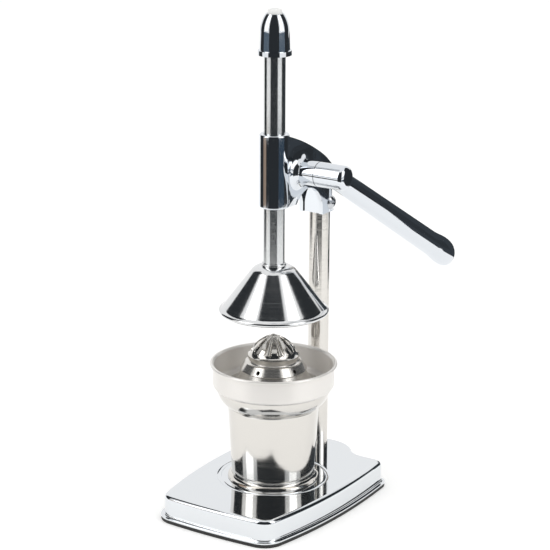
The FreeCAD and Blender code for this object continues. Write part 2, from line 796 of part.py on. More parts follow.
def make_ram_rod():
    """Round bar with a rack cut into its rear, and a threaded hole in each end."""
    addendum, dedendum = tooth_depths()
    pitch = D.gear_module * math.pi
    pitch_y = D.lever_y - D.gear_module * D.teeth / 2
    tip_y = pitch_y + addendum
    root_y = pitch_y - dedendum
    beyond_y = D.rod_radius + 1
    slope = math.tan(math.radians(D.pressure_angle.number))

    body = new_body("ram_rod_bar")
    blank = outline(
        body,
        "rod_section",
        "XZ_Plane",
        [
            (ZERO, D.rod_bottom),
            (D.rod_radius, D.rod_bottom),
            (D.rod_radius, D.rod_top),
            (ZERO, D.rod_top),
        ],
    )
    bar = body.newObject("PartDesign::Revolution", "rod_turned")
    bar.Profile = blank
    bar.ReferenceAxis = (blank, ["V_Axis"])
    bar.Angle = 360.0
    doc.recompute()

    flat_low = D.lever_z - (D.rack_below + 1) * pitch
    flat_high = D.lever_z + (D.rack_above + 1) * pitch
    flat = outline(
        body,
        "rack_flat",
        "YZ_Plane",
        [
            (tip_y, flat_low),
            (beyond_y, flat_low),
            (beyond_y, flat_high),
            (tip_y, flat_high),
        ],
    )
    milled = body.newObject("PartDesign::Pocket", "rack_flat_milled")
    milled.Profile = flat
    milled.Midplane = True
    bind(milled, "Length", D.rod_radius * 4)
    doc.recompute()

    middle = D.lever_z - D.rack_below * pitch
    half_gap = pitch / 4 + D.backlash / 4
    root_half = half_gap - dedendum * slope
    mouth_half = half_gap + (beyond_y - pitch_y) * slope
    gap = outline(
        body,
        "rack_gap",
        "YZ_Plane",
        [
            (root_y, middle - root_half),
            (beyond_y, middle - mouth_half),
            (beyond_y, middle + mouth_half),
            (root_y, middle + root_half),
        ],
    )
    notch = body.newObject("PartDesign::Pocket", "rack_gap_cut")
    notch.Profile = gap
    notch.Midplane = True
    bind(notch, "Length", D.rod_radius * 4)
    doc.recompute()
    rack = body.newObject("PartDesign::LinearPattern", "rack_gaps")
    rack.Originals = [notch]
    rack.Direction = (gap, ["V_Axis"])
    bind(rack, "Occurrences", D.rack_below + D.rack_above + 1)
    bind(rack, "Length", (D.rack_below + D.rack_above) * pitch)
    body.Tip = rack

    lower = cylinder("rod_lower_hole", D.cone_screw_radius, D.cone_screw_reach + 2, z=D.rod_bottom)
    upper = cylinder(
        "rod_upper_hole",
        D.cap_screw_radius,
        D.cap_screw_reach + 2,
        z=D.rod_top - D.cap_screw_reach - 2,
    )
    piece(cut("ram_rod", body, [lower, upper]), "ram_rod")


def make_press_cone():
    """Thin-walled bell on the rod's end, with a rolled lip, its screw and washer."""
    slope = (D.cone_root_radius.number - D.cone_shoulder_radius.number) / (
        D.cone_shoulder_z.number - D.cone_root_z.number
    )
    tilt = math.atan(slope)
    in_r = D.cone_wall * math.cos(tilt)
    in_z = D.cone_wall * math.sin(tilt)
    hub_low = D.rod_bottom - D.cone_hub_floor
    hole = D.cone_screw_radius + D.hole_gap
    seat = D.rod_radius + D.fit_gap
    cone = turned(
        "press_cone",
        [
            (hole, hub_low),
            (D.cone_hub_radius, hub_low),
            (D.cone_hub_radius, D.cone_shoulder_z - in_z),
            (D.cone_shoulder_radius - in_r, D.cone_shoulder_z - in_z),
            (D.cone_root_radius - in_r, D.cone_root_z - in_z),
            (D.cone_rim_radius - D.cone_lip, D.cone_rim_z),
            (D.cone_rim_radius, D.cone_rim_z + D.cone_lip, D.cone_lip),
            (D.cone_root_radius + D.cone_lip * 0.4, D.cone_root_z - D.cone_lip * 0.2, D.cone_lip * 2),
            (D.cone_root_radius, D.cone_root_z),
            (D.cone_shoulder_radius, D.cone_shoulder_z),
            (D.cone_top_radius, D.cone_top_z, D.cone_shoulder_round),
            (seat, D.cone_top_z),
            (seat, D.rod_bottom),
            (hole, D.rod_bottom),
        ],
    )
    piece(cone, "press_cone")

    washer_low = hub_low - D.cone_washer_thick
    washer = turned(
        "cone_washer",
        [
            (hole, washer_low),
            (D.cone_washer_radius, washer_low),
            (D.cone_washer_radius, hub_low),
            (hole, hub_low),
        ],
    )
    piece(washer, "cone_washer")
    piece(
        pan_screw(
            "cone_screw",
            D.cone_screw_radius,
            D.cone_screw_head_radius,
            D.cone_screw_head,
            washer_low,
            D.rod_bottom + D.cone_screw_reach,
        ),
        "cone_screw",
    )


def pan_screw(name, radius, head_radius, head_high, seat_z, end_z):
    """A screw that points up: its pan head hangs below seat_z, its shank ends at end_z."""
    return turned(
        name,
        [
            (ZERO, seat_z - head_high),
            (head_radius * 0.6, seat_z - head_high),
            (head_radius, seat_z - head_high * 0.4, head_radius * 0.55),
            (head_radius, seat_z),
            (radius - D.fit_gap, seat_z),
            (radius - D.fit_gap, end_z),
            (ZERO, end_z),
        ],
    )


def make_ram_cap():
    """Domed cap on the rod's upper end, held by a screw under a plug."""
    seat = D.rod_radius + D.fit_gap
    foot = D.rod_top - D.cap_skirt
    flange_top = foot + D.cap_flange_high
    mouth = D.rod_top + D.cap_top_up
    roof = D.rod_top + D.cap_roof
    hole = D.cap_screw_radius + D.hole_gap
    cap = turned(
        "ram_cap",
        [
            (seat, foot),
            (D.cap_flange_radius, foot),
            (D.cap_flange_radius, flange_top),
            (D.cap_radius, flange_top + D.seat_gap),
            (D.cap_waist_radius, D.rod_top - D.cap_waist_down),
            (D.cap_top_radius, mouth, D.cap_dome_round),
            (D.cap_recess_radius, mouth),
            (D.cap_recess_radius, roof),
            (hole, roof),
            (hole, D.rod_top),
            (seat, D.rod_top),
        ],
    )
    piece(cap, "ram_cap")

    screw = turned(
        "cap_screw",
        [
            (ZERO, D.rod_top - D.cap_screw_reach),
            (D.cap_screw_radius - D.fit_gap, D.rod_top - D.cap_screw_reach),
            (D.cap_screw_radius - D.fit_gap, roof),
            (D.cap_screw_head_radius, roof),
            (D.cap_screw_head_radius, roof + D.cap_screw_head),
            (ZERO, roof + D.cap_screw_head),
        ],
    )
    piece(screw, "cap_screw")

    plug_low = roof + D.cap_screw_head + D.run_gap
    shoulder = D.cap_recess_radius - D.run_gap
    edge = mouth + D.cap_plug_edge_up
    crown = edge + D.cap_plug_crown
    plug = turned(
        "cap_plug",
        [
            (ZERO, plug_low),
            (shoulder, plug_low),
            (shoulder, mouth - D.cap_plug_sink),
            (D.cap_plug_radius, mouth - D.cap_plug_sink),
            (D.cap_plug_radius, edge),
            (D.cap_plug_radius - D.cap_plug_flat, crown, D.cap_plug_round),
            (ZERO, crown),
        ],
    )
    piece(plug, "cap_plug")


# Lever, pinion and shaft


def make_pinion():
    """Spur pinion with involute flanks; one tooth points at the rack."""
    module = D.gear_module.number
    teeth = int(round(D.teeth.number))
    pressure = math.radians(D.pressure_angle.number)
    addendum, dedendum = tooth_depths()
    pitch_radius = module * teeth / 2
    base_radius = pitch_radius * math.cos(pressure)
    tip_radius = pitch_radius + addendum.number
    root_radius = pitch_radius - dedendum.number
    half_tooth = math.pi / (2 * teeth) - D.backlash.number / (4 * pitch_radius)
    involute_pressure = math.tan(pressure) - pressure

    def flank(radius, side, middle):
        """A point of the involute at one radius, on one side of the tooth."""
        reach = max(radius, base_radius)
        turn = math.acos(base_radius / reach)
        angle = half_tooth + involute_pressure - (math.tan(turn) - turn)
        angle = middle + side * angle
        return FreeCAD.Vector(0, radius * math.cos(angle), radius * math.sin(angle))

    def at(radius, angle):
        return FreeCAD.Vector(0, radius * math.cos(angle), radius * math.sin(angle))

    edges = []
    step = 2 * math.pi / teeth
    half_radius = (base_radius + tip_radius) / 2
    for number in range(teeth):
        middle = math.pi + number * step
        root_in = flank(root_radius, -1, middle)
        base_in = flank(base_radius, -1, middle)
        tip_in = flank(tip_radius, -1, middle)
        tip_out = flank(tip_radius, 1, middle)
        base_out = flank(base_radius, 1, middle)
        root_out = flank(root_radius, 1, middle)
        next_root = flank(root_radius, -1, middle + step)
        edges.append(Part.LineSegment(root_in, base_in).toShape())
        edges.append(Part.Arc(base_in, flank(half_radius, -1, middle), tip_in).toShape())
        edges.append(Part.Arc(tip_in, at(tip_radius, middle), tip_out).toShape())
        edges.append(Part.Arc(tip_out, flank(half_radius, 1, middle), base_out).toShape())
        edges.append(Part.LineSegment(base_out, root_out).toShape())
        edges.append(Part.Arc(root_out, at(root_radius, middle + step / 2), next_root).toShape())
    half = D.pinion_half.number
    face = Part.Face(Part.Wire(edges))
    solid = face.extrude(FreeCAD.Vector(2 * half, 0, 0))
    solid.translate(FreeCAD.Vector(-half, 0, 0))
    bore = Part.makeCylinder(
        D.shaft_radius.number + D.fit_gap.number,
        2 * half + 2,
        FreeCAD.Vector(-half - 1, 0, 0),
        FreeCAD.Vector(1, 0, 0),
    )
    pin_hole = Part.makeCylinder(
        D.pin_radius.number + D.fit_gap.number,
        2 * D.pin_half.number,
        FreeCAD.Vector(0, 0, -D.pin_half.number),
    )
    solid = solid.cut(bore).cut(pin_hole)
    pinion = doc.addObject("Part::Feature", "pinion")
    pinion.Shape = solid
    place(pinion, ZERO, D.lever_y, D.lever_z)
    piece(pinion, "pinion")


def make_shaft_group():
    """Shaft, the pin through it, its thrust washers, and what holds its far end."""
    far = D.web_half + D.far_boss
    start = -far - D.washer_thick
    hub_start = D.boss_end + D.washer_thick
    bar = cylinder(
        "shaft_bar",
        D.shaft_radius,
        hub_start + D.shaft_seat - start,
        start,
        D.lever_y,
        D.lever_z,
        "+X",
    )
    pin_hole = cylinder(
        "shaft_pin_hole",
        D.pin_radius + D.fit_gap,
        D.shaft_radius * 4,
        ZERO,
        D.lever_y,
        D.lever_z - D.shaft_radius * 2,
    )
    end_hole = cylinder(
        "shaft_end_hole",
        D.end_screw_radius,
        D.end_screw_reach + 1,
        start,
        D.lever_y,
        D.lever_z,
        "+X",
    )
    piece(cut("pinion_shaft", bar, [pin_hole, end_hole]), "pinion_shaft")
    pin = cylinder(
        "pinion_pin",
        D.pin_radius,
        (D.pin_half - D.run_gap) * 2,
        ZERO,
        D.lever_y,
        D.lever_z - D.pin_half + D.run_gap,
    )
    piece(pin, "pinion_pin")

    hole = D.shaft_radius + D.fit_gap
    for name, low, high, radius in (
        ("thrust_washer", D.boss_end + D.fit_gap, hub_start, D.thrust_radius),
        ("friction_washer", start, -far - D.fit_gap, D.thrust_radius),
    ):
        ring = turned(
            name,
            [(low, hole), (high, hole), (high, radius), (low, radius)],
            "H_Axis",
            ZERO,
            D.lever_y,
            D.lever_z,
        )
        piece(ring, name)

    end = start - D.end_washer_thick
    washer = turned(
        "end_washer",
        [
            (end, D.end_screw_radius + D.hole_gap),
            (start, D.end_screw_radius + D.hole_gap),
            (start, D.end_washer_radius),
            (end, D.end_washer_radius),
        ],
        "H_Axis",
        ZERO,
        D.lever_y,
        D.lever_z,
    )
    piece(washer, "end_washer")
    head = D.end_screw_head
    radius = D.end_screw_head_radius
    screw = turned(
        "end_screw",
        [
            (end - head, ZERO),
            (start + D.end_screw_reach, ZERO),
            (start + D.end_screw_reach, D.end_screw_radius - D.fit_gap),
            (end, D.end_screw_radius - D.fit_gap),
            (end, radius),
            (end - head * 0.4, radius),
            (end - head, radius * 0.6, radius * 0.55),
        ],
        "H_Axis",
        ZERO,
        D.lever_y,
        D.lever_z,
    )
    piece(screw, "end_screw")


def make_lever():
    """Hub with a rounded end, and a flattened arm that widens to a flared, rounded end."""
    start = D.boss_end + D.washer_thick
    hub = turned(
        "lever_hub",
        [
            (start, ZERO),
            (D.hub_end, ZERO),
            (D.hub_end, D.boss_radius - D.hub_round),
            (D.hub_end - D.hub_round, D.boss_radius, D.hub_round),
            (start, D.boss_radius),
        ],
        "H_Axis",
        ZERO,
        D.lever_y,
        D.lever_z,
    )
    doc.recompute()

    def spot(along, out):
        """A point of the arm's outline: distance along the arm, and out from its axis."""
        return FreeCAD.Vector(0, along.number, out.number)

    root = spot(ZERO, D.arm_root_half)
    neck = spot(D.arm_neck_at, D.arm_neck_half)
    knob = spot(D.arm_knob_at, D.arm_knob_half)
    tip = spot(D.arm_length, ZERO)
    flare = Part.BezierCurve()
    flare.setPoles([
        neck,
        neck + (neck - root) * (0.35 * (knob.y - neck.y) / (neck.y - root.y)),
        knob - FreeCAD.Vector(0, 0.45 * (knob.y - neck.y), 0),
        knob,
    ])
    bow = Part.BezierCurve()
    rounder = 0.56
    bow.setPoles([
        knob,
        knob + FreeCAD.Vector(0, rounder * (tip.y - knob.y), 0),
        tip + FreeCAD.Vector(0, 0, rounder * knob.z),
        tip,
    ])
    edges = [
        Part.LineSegment(spot(ZERO, ZERO), root).toShape(),
        Part.LineSegment(root, neck).toShape(),
        flare.toShape(),
        bow.toShape(),
        Part.LineSegment(tip, spot(ZERO, ZERO)).toShape(),
    ]
    half_section = Part.Face(Part.Wire(edges))
    arm = half_section.revolve(FreeCAD.Vector(), FreeCAD.Vector(0, 1, 0), 360)
    flat = FreeCAD.Matrix()
    flat.A11 = D.arm_flatness.number
    arm = arm.transformGeometry(flat)
    arm.rotate(FreeCAD.Vector(), FreeCAD.Vector(1, 0, 0), -D.arm_drop.number)
    arm.translate(FreeCAD.Vector(D.arm_x.number, D.lever_y.number, D.lever_z.number))

    solid = hub.Shape.fuse(arm)
    bore = Part.makeCylinder(
        D.shaft_radius.number + D.fit_gap.number,
        D.shaft_seat.number + D.run_gap.number,
        FreeCAD.Vector(start.number, D.lever_y.number, D.lever_z.number),
        FreeCAD.Vector(1, 0, 0),
    )
    grub = Part.makeCylinder(
        D.grub_radius.number + D.fit_gap.number,
        D.boss_radius.number,
        FreeCAD.Vector(D.grub_x.number, D.lever_y.number, D.lever_z.number),
        FreeCAD.Vector(0, 0, -1),
    )
    lever = doc.addObject("Part::Feature", "lever")
    lever.Shape = solid.cut(bore).cut(grub)
    piece(lever, "lever")

    depth = D.shaft_radius + D.run_gap
    screw = cylinder(
        "hub_set_screw",
        D.grub_radius,
        D.boss_radius - D.grub_sink - depth,
        D.grub_x,
        D.lever_y,
        D.lever_z - depth,
        "-Z",
    )
    piece(screw, "hub_set_screw")


# Cup, tray, strainer and reamer


def make_cup():
    """Deep-drawn cup with a beaded foot and a wide mouth."""
    foot = D.base_top
    wall = D.cup_wall
    lift = foot + D.cup_floor_lift
    bead = foot + D.cup_foot_high
    lower = bead + 2
    body_z = foot + D.cup_body_high
    throat_z = foot + D.cup_throat_high
    neck_z = foot + D.cup_neck_high
    rim = foot + D.cup_high
    base_in = D.cup_base_radius - wall
    cup = turned(
        "cup",
        [
            (ZERO, lift),
            (base_in - 2, lift),
            (base_in, foot),
            (D.cup_foot_radius - 0.6, foot),
            (D.cup_foot_radius, foot + 0.6),
            (D.cup_foot_radius - 0.6, bead - 0.6),
            (D.cup_base_radius, lower, -4),
            (D.cup_body_radius, body_z),
            (D.cup_throat_radius, throat_z, -22),
            (D.cup_neck_radius, neck_z),
            (D.cup_rim_radius, rim, -14),
            (D.cup_rim_radius - wall, rim),
            (D.cup_neck_radius - wall, neck_z + wall * 0.4, 13),
            (D.cup_throat_radius - wall, throat_z + wall * 0.2),
            (D.cup_body_radius - wall, body_z, 23),
            (base_in, lower),
            (base_in - 1, lift + wall),
            (ZERO, lift + wall),
        ],
    )
    piece(cup, "cup")


def tray_floor():
    """Heights of the tray's sheet: underside on the cup's rim, and top of the sunk floor."""
    under = D.base_top + D.cup_high
    sunk = under - D.tray_step_deep
    return under, sunk, sunk + D.tray_wall


def make_tray():
    """Shallow tray with a rolled rim, a step that drops into the cup, and a drain."""
    under, sunk, floor = tray_floor()
    wall = D.tray_wall
    corner = D.tray_corner
    roll = D.tray_roll
    inside = D.tray_radius - wall
    lip = D.drain_radius + wall
    tray = turned(
        "tray",
        [
            (D.drain_radius, sunk - D.drain_lip),
            (lip, sunk - D.drain_lip),
            (lip, sunk),
            (D.tray_step_radius, sunk),
            (D.tray_step_radius, under),
            (D.tray_radius - corner, under),
            (D.tray_radius, under + corner, corner),
            (D.tray_radius, D.tray_rim_z - roll * 2),
            (D.tray_rim_radius - roll, D.tray_rim_z - roll * 2),
            (D.tray_rim_radius - roll, D.tray_rim_z, roll * 1.0001),
            (inside, D.tray_rim_z - roll),
            (inside, under + corner),
            (D.tray_radius - corner, under + wall, wall - corner),
            (D.tray_step_radius - wall, under + wall),
            (D.tray_step_radius - wall, floor),
            (D.drain_radius, floor),
        ],
    )
    piece(tray, "tray")


def make_strainer():
    """Strainer: flange on the tray's floor, collar with juice holes, and a neck."""
    floor = tray_floor()[2]
    wall = D.strainer_wall
    ring = turned(
        "strainer_blank",
        [
            (D.ring_foot_radius - wall, floor),
            (D.ring_flange_radius, floor),
            (D.ring_flange_radius, floor + wall),
            (D.ring_foot_radius + 2, floor + wall),
            (D.collar_bottom_radius, D.collar_bottom_z, -14),
            (D.collar_top_radius, D.collar_top_z),
            (D.neck_radius, D.neck_z, -9),
            (D.neck_radius, D.neck_top),
            (D.neck_radius - wall, D.neck_top),
            (D.neck_radius - wall, D.neck_z - wall * 0.3),
            (D.collar_top_radius - wall, D.collar_top_z - wall, 10),
            (D.collar_bottom_radius - wall, D.collar_bottom_z - wall * 0.4),
        ],
    )
    drills = []
    for number in range(int(round(D.strainer_holes.number))):
        turn = D.strainer_hole_first.number + number * 360.0 / D.strainer_holes.number
        drill = doc.addObject("Part::Cylinder", "juice_hole_%d" % number)
        bind(drill, "Radius", D.strainer_hole_radius)
        bind(drill, "Height", D.collar_bottom_radius * 2)
        aim = FreeCAD.Rotation(FreeCAD.Vector(0, 0, 1), turn).multiply(TURNS["+X"])
        place(drill, z=D.strainer_hole_z, turn=aim)
        drills.append(drill)
    piece(cut("strainer", ring, drills), "strainer")


def make_reamer():
    """Fluted reamer on a foot that sits on the strainer's neck."""
    low = D.neck_top
    waist = low + D.reamer_foot + D.reamer_waist_high
    spigot = D.neck_radius - D.strainer_wall - D.seat_gap / 2
    tip = D.reamer_tip_radius
    blank = turned(
        "reamer_blank",
        [
            (ZERO, low - D.reamer_spigot),
            (spigot, low - D.reamer_spigot),
            (spigot, low),
            (D.reamer_radius, low),
            (D.reamer_radius, low + D.reamer_foot),
            (D.reamer_waist_radius, waist, -D.reamer_waist_high * 1.6),
            (tip, D.reamer_top - tip * 0.5, D.reamer_round),
            (tip * 0.3, D.reamer_top, tip),
            (ZERO, D.reamer_top),
        ],
    )
    slim = D.flute_taper
    foot_out = D.reamer_waist_radius + D.flute_radius - D.flute_deep
    tip_out = tip + (D.flute_radius - D.flute_deep) * slim
    run = foot_out.number - tip_out.number
    rise = D.reamer_top.number - waist.number
    lean = math.degrees(math.atan2(run, rise))
    cutters = []
    for number in range(int(round(D.flutes.number))):
        turn = FreeCAD.Rotation(FreeCAD.Vector(0, 0, 1), number * 360.0 / D.flutes.number)
        aim = turn.multiply(FreeCAD.Rotation(FreeCAD.Vector(0, 1, 0), -lean))
        direction = turn.multVec(FreeCAD.Vector(1, 0, 0))
        cutter = doc.addObject("Part::Cone", "flute_%d" % number)
        bind(cutter, "Radius1", D.flute_radius)
        bind(cutter, "Radius2", D.flute_radius * slim)
        cutter.Height = math.hypot(run, rise)
        place(cutter, foot_out * direction.x, foot_out * direction.y, waist, aim)
        cutters.append(cutter)
    piece(cut("reamer", blank, cutters), "reamer")


make_base_shell()
make_base_mat()
make_column_group()
make_guide_casting()
make_ram_rod()
make_press_cone()
make_ram_cap()
make_pinion()
make_shaft_group()
make_lever()
make_cup()
make_tray()
make_strainer()
make_reamer()

doc.recompute()
for thing in doc.Objects:
    if "Invalid" in thing.State or "Error" in thing.State:
        raise RuntimeError("%s failed: %s" % (thing.Label, thing.State))

os.makedirs("parts", exist_ok=True)
for thing in PIECES:
    shape = thing.Shape
    if shape.isNull() or not shape.isValid():
        raise RuntimeError("%s has no valid shape" % thing.Label)
for thing in PIECES:
    thing.Shape.exportStep("parts/%s.step" % thing.Label)
    print("%-18s solids %d volume %.1f" % (thing.Label, len(thing.Shape.Solids), thing.Shape.Volume))
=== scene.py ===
import math

import bpy
from mathutils import Matrix, Vector


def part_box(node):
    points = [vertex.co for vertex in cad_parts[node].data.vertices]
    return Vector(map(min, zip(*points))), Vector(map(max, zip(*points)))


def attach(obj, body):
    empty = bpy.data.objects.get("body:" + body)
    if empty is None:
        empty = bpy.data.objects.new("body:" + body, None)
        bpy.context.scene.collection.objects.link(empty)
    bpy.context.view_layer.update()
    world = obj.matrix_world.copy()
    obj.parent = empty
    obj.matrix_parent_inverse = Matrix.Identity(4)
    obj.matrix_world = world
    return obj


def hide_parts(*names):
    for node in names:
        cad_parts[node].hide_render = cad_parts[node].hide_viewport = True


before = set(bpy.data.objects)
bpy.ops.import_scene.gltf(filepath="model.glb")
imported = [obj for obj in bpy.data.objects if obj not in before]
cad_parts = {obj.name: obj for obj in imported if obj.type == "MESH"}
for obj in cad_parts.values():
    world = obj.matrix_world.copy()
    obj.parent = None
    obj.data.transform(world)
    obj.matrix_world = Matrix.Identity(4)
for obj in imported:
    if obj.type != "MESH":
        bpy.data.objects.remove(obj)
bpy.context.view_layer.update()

bl_info = {
    "name": "Lever Citrus Press",
    "version": (1, 0, 0),
    "blender": (4, 5, 0),
    "location": "3D View > Sidebar > Citrus Press",
    "description": "Finishes, studio and camera for a lever citrus press on its CAD frame",
    "category": "Object",
}

MM = 0.001

# Sizes are in mm. In a list of corners, a third number is the radius of the arc that arrives
# there: positive where its centre lies on the left of the way.

# Base: its hem's outline as X and Y, its sheet, and the groove pressed round the cup's place
BASE_OUTLINE = (
    (-46.2, -99.1), (46.2, -99.1, 595.5), (62.7, -84.7, 19.2), (72.9, 14.8, 487),
    (69.7, 80.2, 674), (57.9, 90.8, 12), (42.4, 90.8), (29.6, 97.2, -16), (-29.6, 97.2, 37),
    (-42.4, 90.8, -16), (-57.9, 90.8), (-69.7, 80.2, 12), (-72.9, 14.8, 674),
    (-62.7, -84.7, 487), (-46.2, -99.1, 19.2),
)
BASE_SHEET = 1.2
BASE_ROUND = 4.0
HEM_WIDE = 3.6
HEM_ROUND = 1.6
GROOVE_REACH = 48.8
GROOVE_TOOL = 2.5
GROOVE_DEEP = 1.0
SOLE_SHARE = 0.997
SOLE_ROUND = 0.6

# Sections turned about the plunger's axis, as reach and height
BELL = (
    (3.2, 213.5), (13, 213.5), (13, 217.16), (18.25, 217.16), (43.65, 184.06), (46.9, 179.8),
    (48.9, 181.8, 2), (47.35, 183.75, 2), (45.4, 185.4, -6), (20, 218.5), (12, 222.5, 10.5),
    (10.9, 222.5), (10.9, 224.7), (10.2, 225.4, 0.7), (9.52, 225.4), (9.52, 216), (3.2, 216),
)
CUP = (
    (0, 26), (34.4, 26), (36.4, 24), (40.6, 24), (41.2, 24.6), (40.6, 26), (37.4, 28.6, -4),
    (40.9, 92), (42.3, 94, -3), (51.5, 109.5, 24), (50.5, 109.5), (41.3, 94.5, -23),
    (39.9, 92, 4), (36.4, 28.6), (35.4, 27), (0, 27),
)
TRAY = (
    (27, 102.5), (28, 102.5), (28, 106.5), (47.2, 106.5), (47.2, 109.5), (50.4, 109.5),
    (54.4, 113.5, 4), (54.4, 130.2), (55.7, 130.2), (57.1, 131.6, 1.4), (55.7, 133, 1.4),
    (54.4, 132.4, 1.6), (53.4, 131.2), (53.4, 113.5), (50.4, 110.5, -3), (46.2, 110.5),
    (46.2, 107.5), (27, 107.5),
)
STRAINER = (
    (42.4, 107.5), (44.5, 107.5), (44.5, 108.5), (43.4, 108.5), (28.9, 126.2, -30),
    (29.5, 126.6), (29.9, 127.4, 1), (25.3, 133.8), (22.2, 135.5, -4), (22.2, 138), (21.2, 138),
    (21.2, 135.2), (24.8, 132.8, 5), (27.9, 126.9), (42.4, 108.5, 31),
)
STRAINER_HOLES = 5
FIRST_HOLE = -14
HOLE_REACH = 27.3
HOLE_LEVEL = 130
HOLE_RADIUS = 1.8
DRILL_LONG = 12
# The CAD reamer is set this much higher, and flattened by this share above its foot
REAMER_LIFT = 2
REAMER_SHARE = 0.977
REAMER_FOOT = 138

# Casting, seen from its side as Y and Z: the sloping top from back to front, the whole outline
# and the hollow. Its guide and its boss are turned sections.
CASTING_TOP = ((88.1, 264.6), (62, 312.3, 56.6), (0, 341, 253))
CASTING_SIDE = (
    (0, 276), (17.5, 276), (37, 287, -26), (60.5, 266, -27), (60.5, 257.2), (88.1, 257.2),
) + CASTING_TOP
CASTING_HOLLOW = (
    (13.2, 275), (17.5, 275), (17.5, 256), (62.05, 256), (62.05, 300.7), (13.2, 326, 253),
)
GUIDE = (
    (0, 276), (11.7, 276), (13.2, 277.5, 1.5), (13.2, 340.3), (11.7, 341.8, 1.5), (0, 341.8),
)
BOSS = (
    (-14.6, 0), (32.7, 0), (32.7, 11), (19.4, 11), (12.4, 18, -7), (-12.4, 18), (-12.4, 11),
    (-14.6, 11),
)
CASTING_HALF = 12.4
CASTING_BACK = 13
CASTING_EDGE = 3.2
HOLLOW_HALF = 8.6
SHAFT = (0, 21.475, 305.4)
SHAFT_BORE = 7.05
SHAFT_BORE_ENDS = (-16, 34)
PINION_ROOM = 17.2
PLUNGER_BORE = 9.55
COLUMN_BORE = 9.52
COLUMN_Y = 75.1
COLUMN_TOP = 277
# Heights clear of the casting, where its cuts begin and end, also in front at the guide
CUT_LOW = 250
CUT_HIGH = 350
PLUNGER_CUT_LOW = 270

# Clamp screw in the socket's side: its level, the seat of its head and its cross recess
SCREW_LEVEL = 265.4
SCREW_SEAT = 6.6
RECESS_FLOOR = 1.8
RECESS_HALF = 3.3
RECESS_SLOT_HALF = 0.65
RECESS_CUT = 5

# Lever: its hub's reach, and the arm's half widths at the shaft, where it begins to flare, and
# at its widest. The arm drops by ARM_DROP degrees.
HUB_REACH = 12.6
ARM_HALVES = (10.0, 11.7, 13.3)
ARM_PLACES = (5, 196, 221)
ARM_LONG = 245.5
ARM_FLATNESS = 0.66
ARM_ACROSS = 50
ARM_SUNK = 0.9
ARM_DROP = 30
ARM_END_FULLNESS = 2.6

# Studio, in metres, watts and degrees
PICTURE_WIDE_PX = 550
SENSOR_MM = 36
FLOOR_RADIUS = 3.0
LAMP_REACH = 1.6
LAMP_HEIGHT = 1.1
LAMP_WIDE = 0.7
LAMP_TALL = 1.6
LAMP_WATTS = 6.0
LAMP_AIM_HEIGHT = 0.25
LAMPS = (("soft_box_left", -67), ("soft_box_right", 57))


def linear(code):
    """An sRGB hex colour as linear RGBA."""
    channels = [int(code[i:i + 2], 16) / 255 for i in (1, 3, 5)]
    straight = [c / 12.92 if c <= 0.04045 else ((c + 0.055) / 1.055) ** 2.4 for c in channels]
    return (*straight, 1.0)


def rgb(code):
    return linear(code)[:3]


def per(size_mm):
    """Texture scale at which one feature is about size_mm wide."""
    return 1 / (size_mm * MM)


# Settings a user would change

class PressFinishes(bpy.types.PropertyGroup):
    chrome: bpy.props.FloatVectorProperty(
        name="Chrome", description="Chrome plate on the pressed base", subtype="COLOR",
        size=3, min=0, max=1, default=rgb("#e2e5e8"))
    cast_chrome: bpy.props.FloatVectorProperty(
        name="Cast chrome", description="Chrome plate on the castings", subtype="COLOR",
        size=3, min=0, max=1, default=rgb("#dde1e6"))
    stainless: bpy.props.FloatVectorProperty(
        name="Stainless", description="Stainless sheet of cup, tray and strainer", subtype="COLOR",
        size=3, min=0, max=1, default=rgb("#dcd9d4"))
    steel_bar: bpy.props.FloatVectorProperty(
        name="Plunger bar", description="Ground bar of the plunger", subtype="COLOR",
        size=3, min=0, max=1, default=rgb("#d6d8d9"))
    bell: bpy.props.FloatVectorProperty(
        name="Bell", description="Spun bell on the plunger", subtype="COLOR",
        size=3, min=0, max=1, default=rgb("#dfe0e1"))
    rubber: bpy.props.FloatVectorProperty(
        name="Rubber", description="Mat under the base", subtype="COLOR",
        size=3, min=0, max=1, default=rgb("#2a2a29"))
    plug: bpy.props.FloatVectorProperty(
        name="Plug", description="Disc in the cap's top", subtype="COLOR",
        size=3, min=0, max=1, default=rgb("#f3f3f1"))


class PressStudio(bpy.types.PropertyGroup):
    azimuth: bpy.props.FloatProperty(
        name="Azimuth", description="Camera's turn from the front towards the lever",
        subtype="ANGLE", unit="ROTATION", default=math.radians(33.27))
    reach: bpy.props.FloatProperty(
        name="Reach", description="Level distance from the plunger's axis to the camera",
        unit="LENGTH", default=1.8)
    height: bpy.props.FloatProperty(
        name="Height", description="Camera above the table", unit="LENGTH", default=0.756)
    pitch: bpy.props.FloatProperty(
        name="Pitch", description="Camera tilted down", subtype="ANGLE", unit="ROTATION",
        default=math.radians(16.77))
    roll: bpy.props.FloatProperty(
        name="Roll", description="Camera rolled about its view", subtype="ANGLE", unit="ROTATION",
        default=math.radians(0.241))
    yaw: bpy.props.FloatProperty(
        name="Yaw", description="Camera turned off the plunger's axis", subtype="ANGLE",
        unit="ROTATION", default=math.radians(-0.032))
    focal_px: bpy.props.FloatProperty(
        name="Focal length in pixels", description="Of a picture 550 pixels wide", default=2128.0)
    card_radius: bpy.props.FloatProperty(
        name="Card distance", description="Dark cards round the plunger's axis", unit="LENGTH",
        default=0.62)


# Materials

def add(tree, kind, inputs=None, **settings):
    """Adds a node, sets its settings and its inputs, and links those inputs given as sockets."""
    node = tree.nodes.new(kind)
    for name, value in settings.items():
        setattr(node, name, value)
    for name, value in (inputs or {}).items():
        if isinstance(value, bpy.types.NodeSocket):
            tree.links.new(value, node.inputs[name])
        else:
            node.inputs[name].default_value = value
    return node


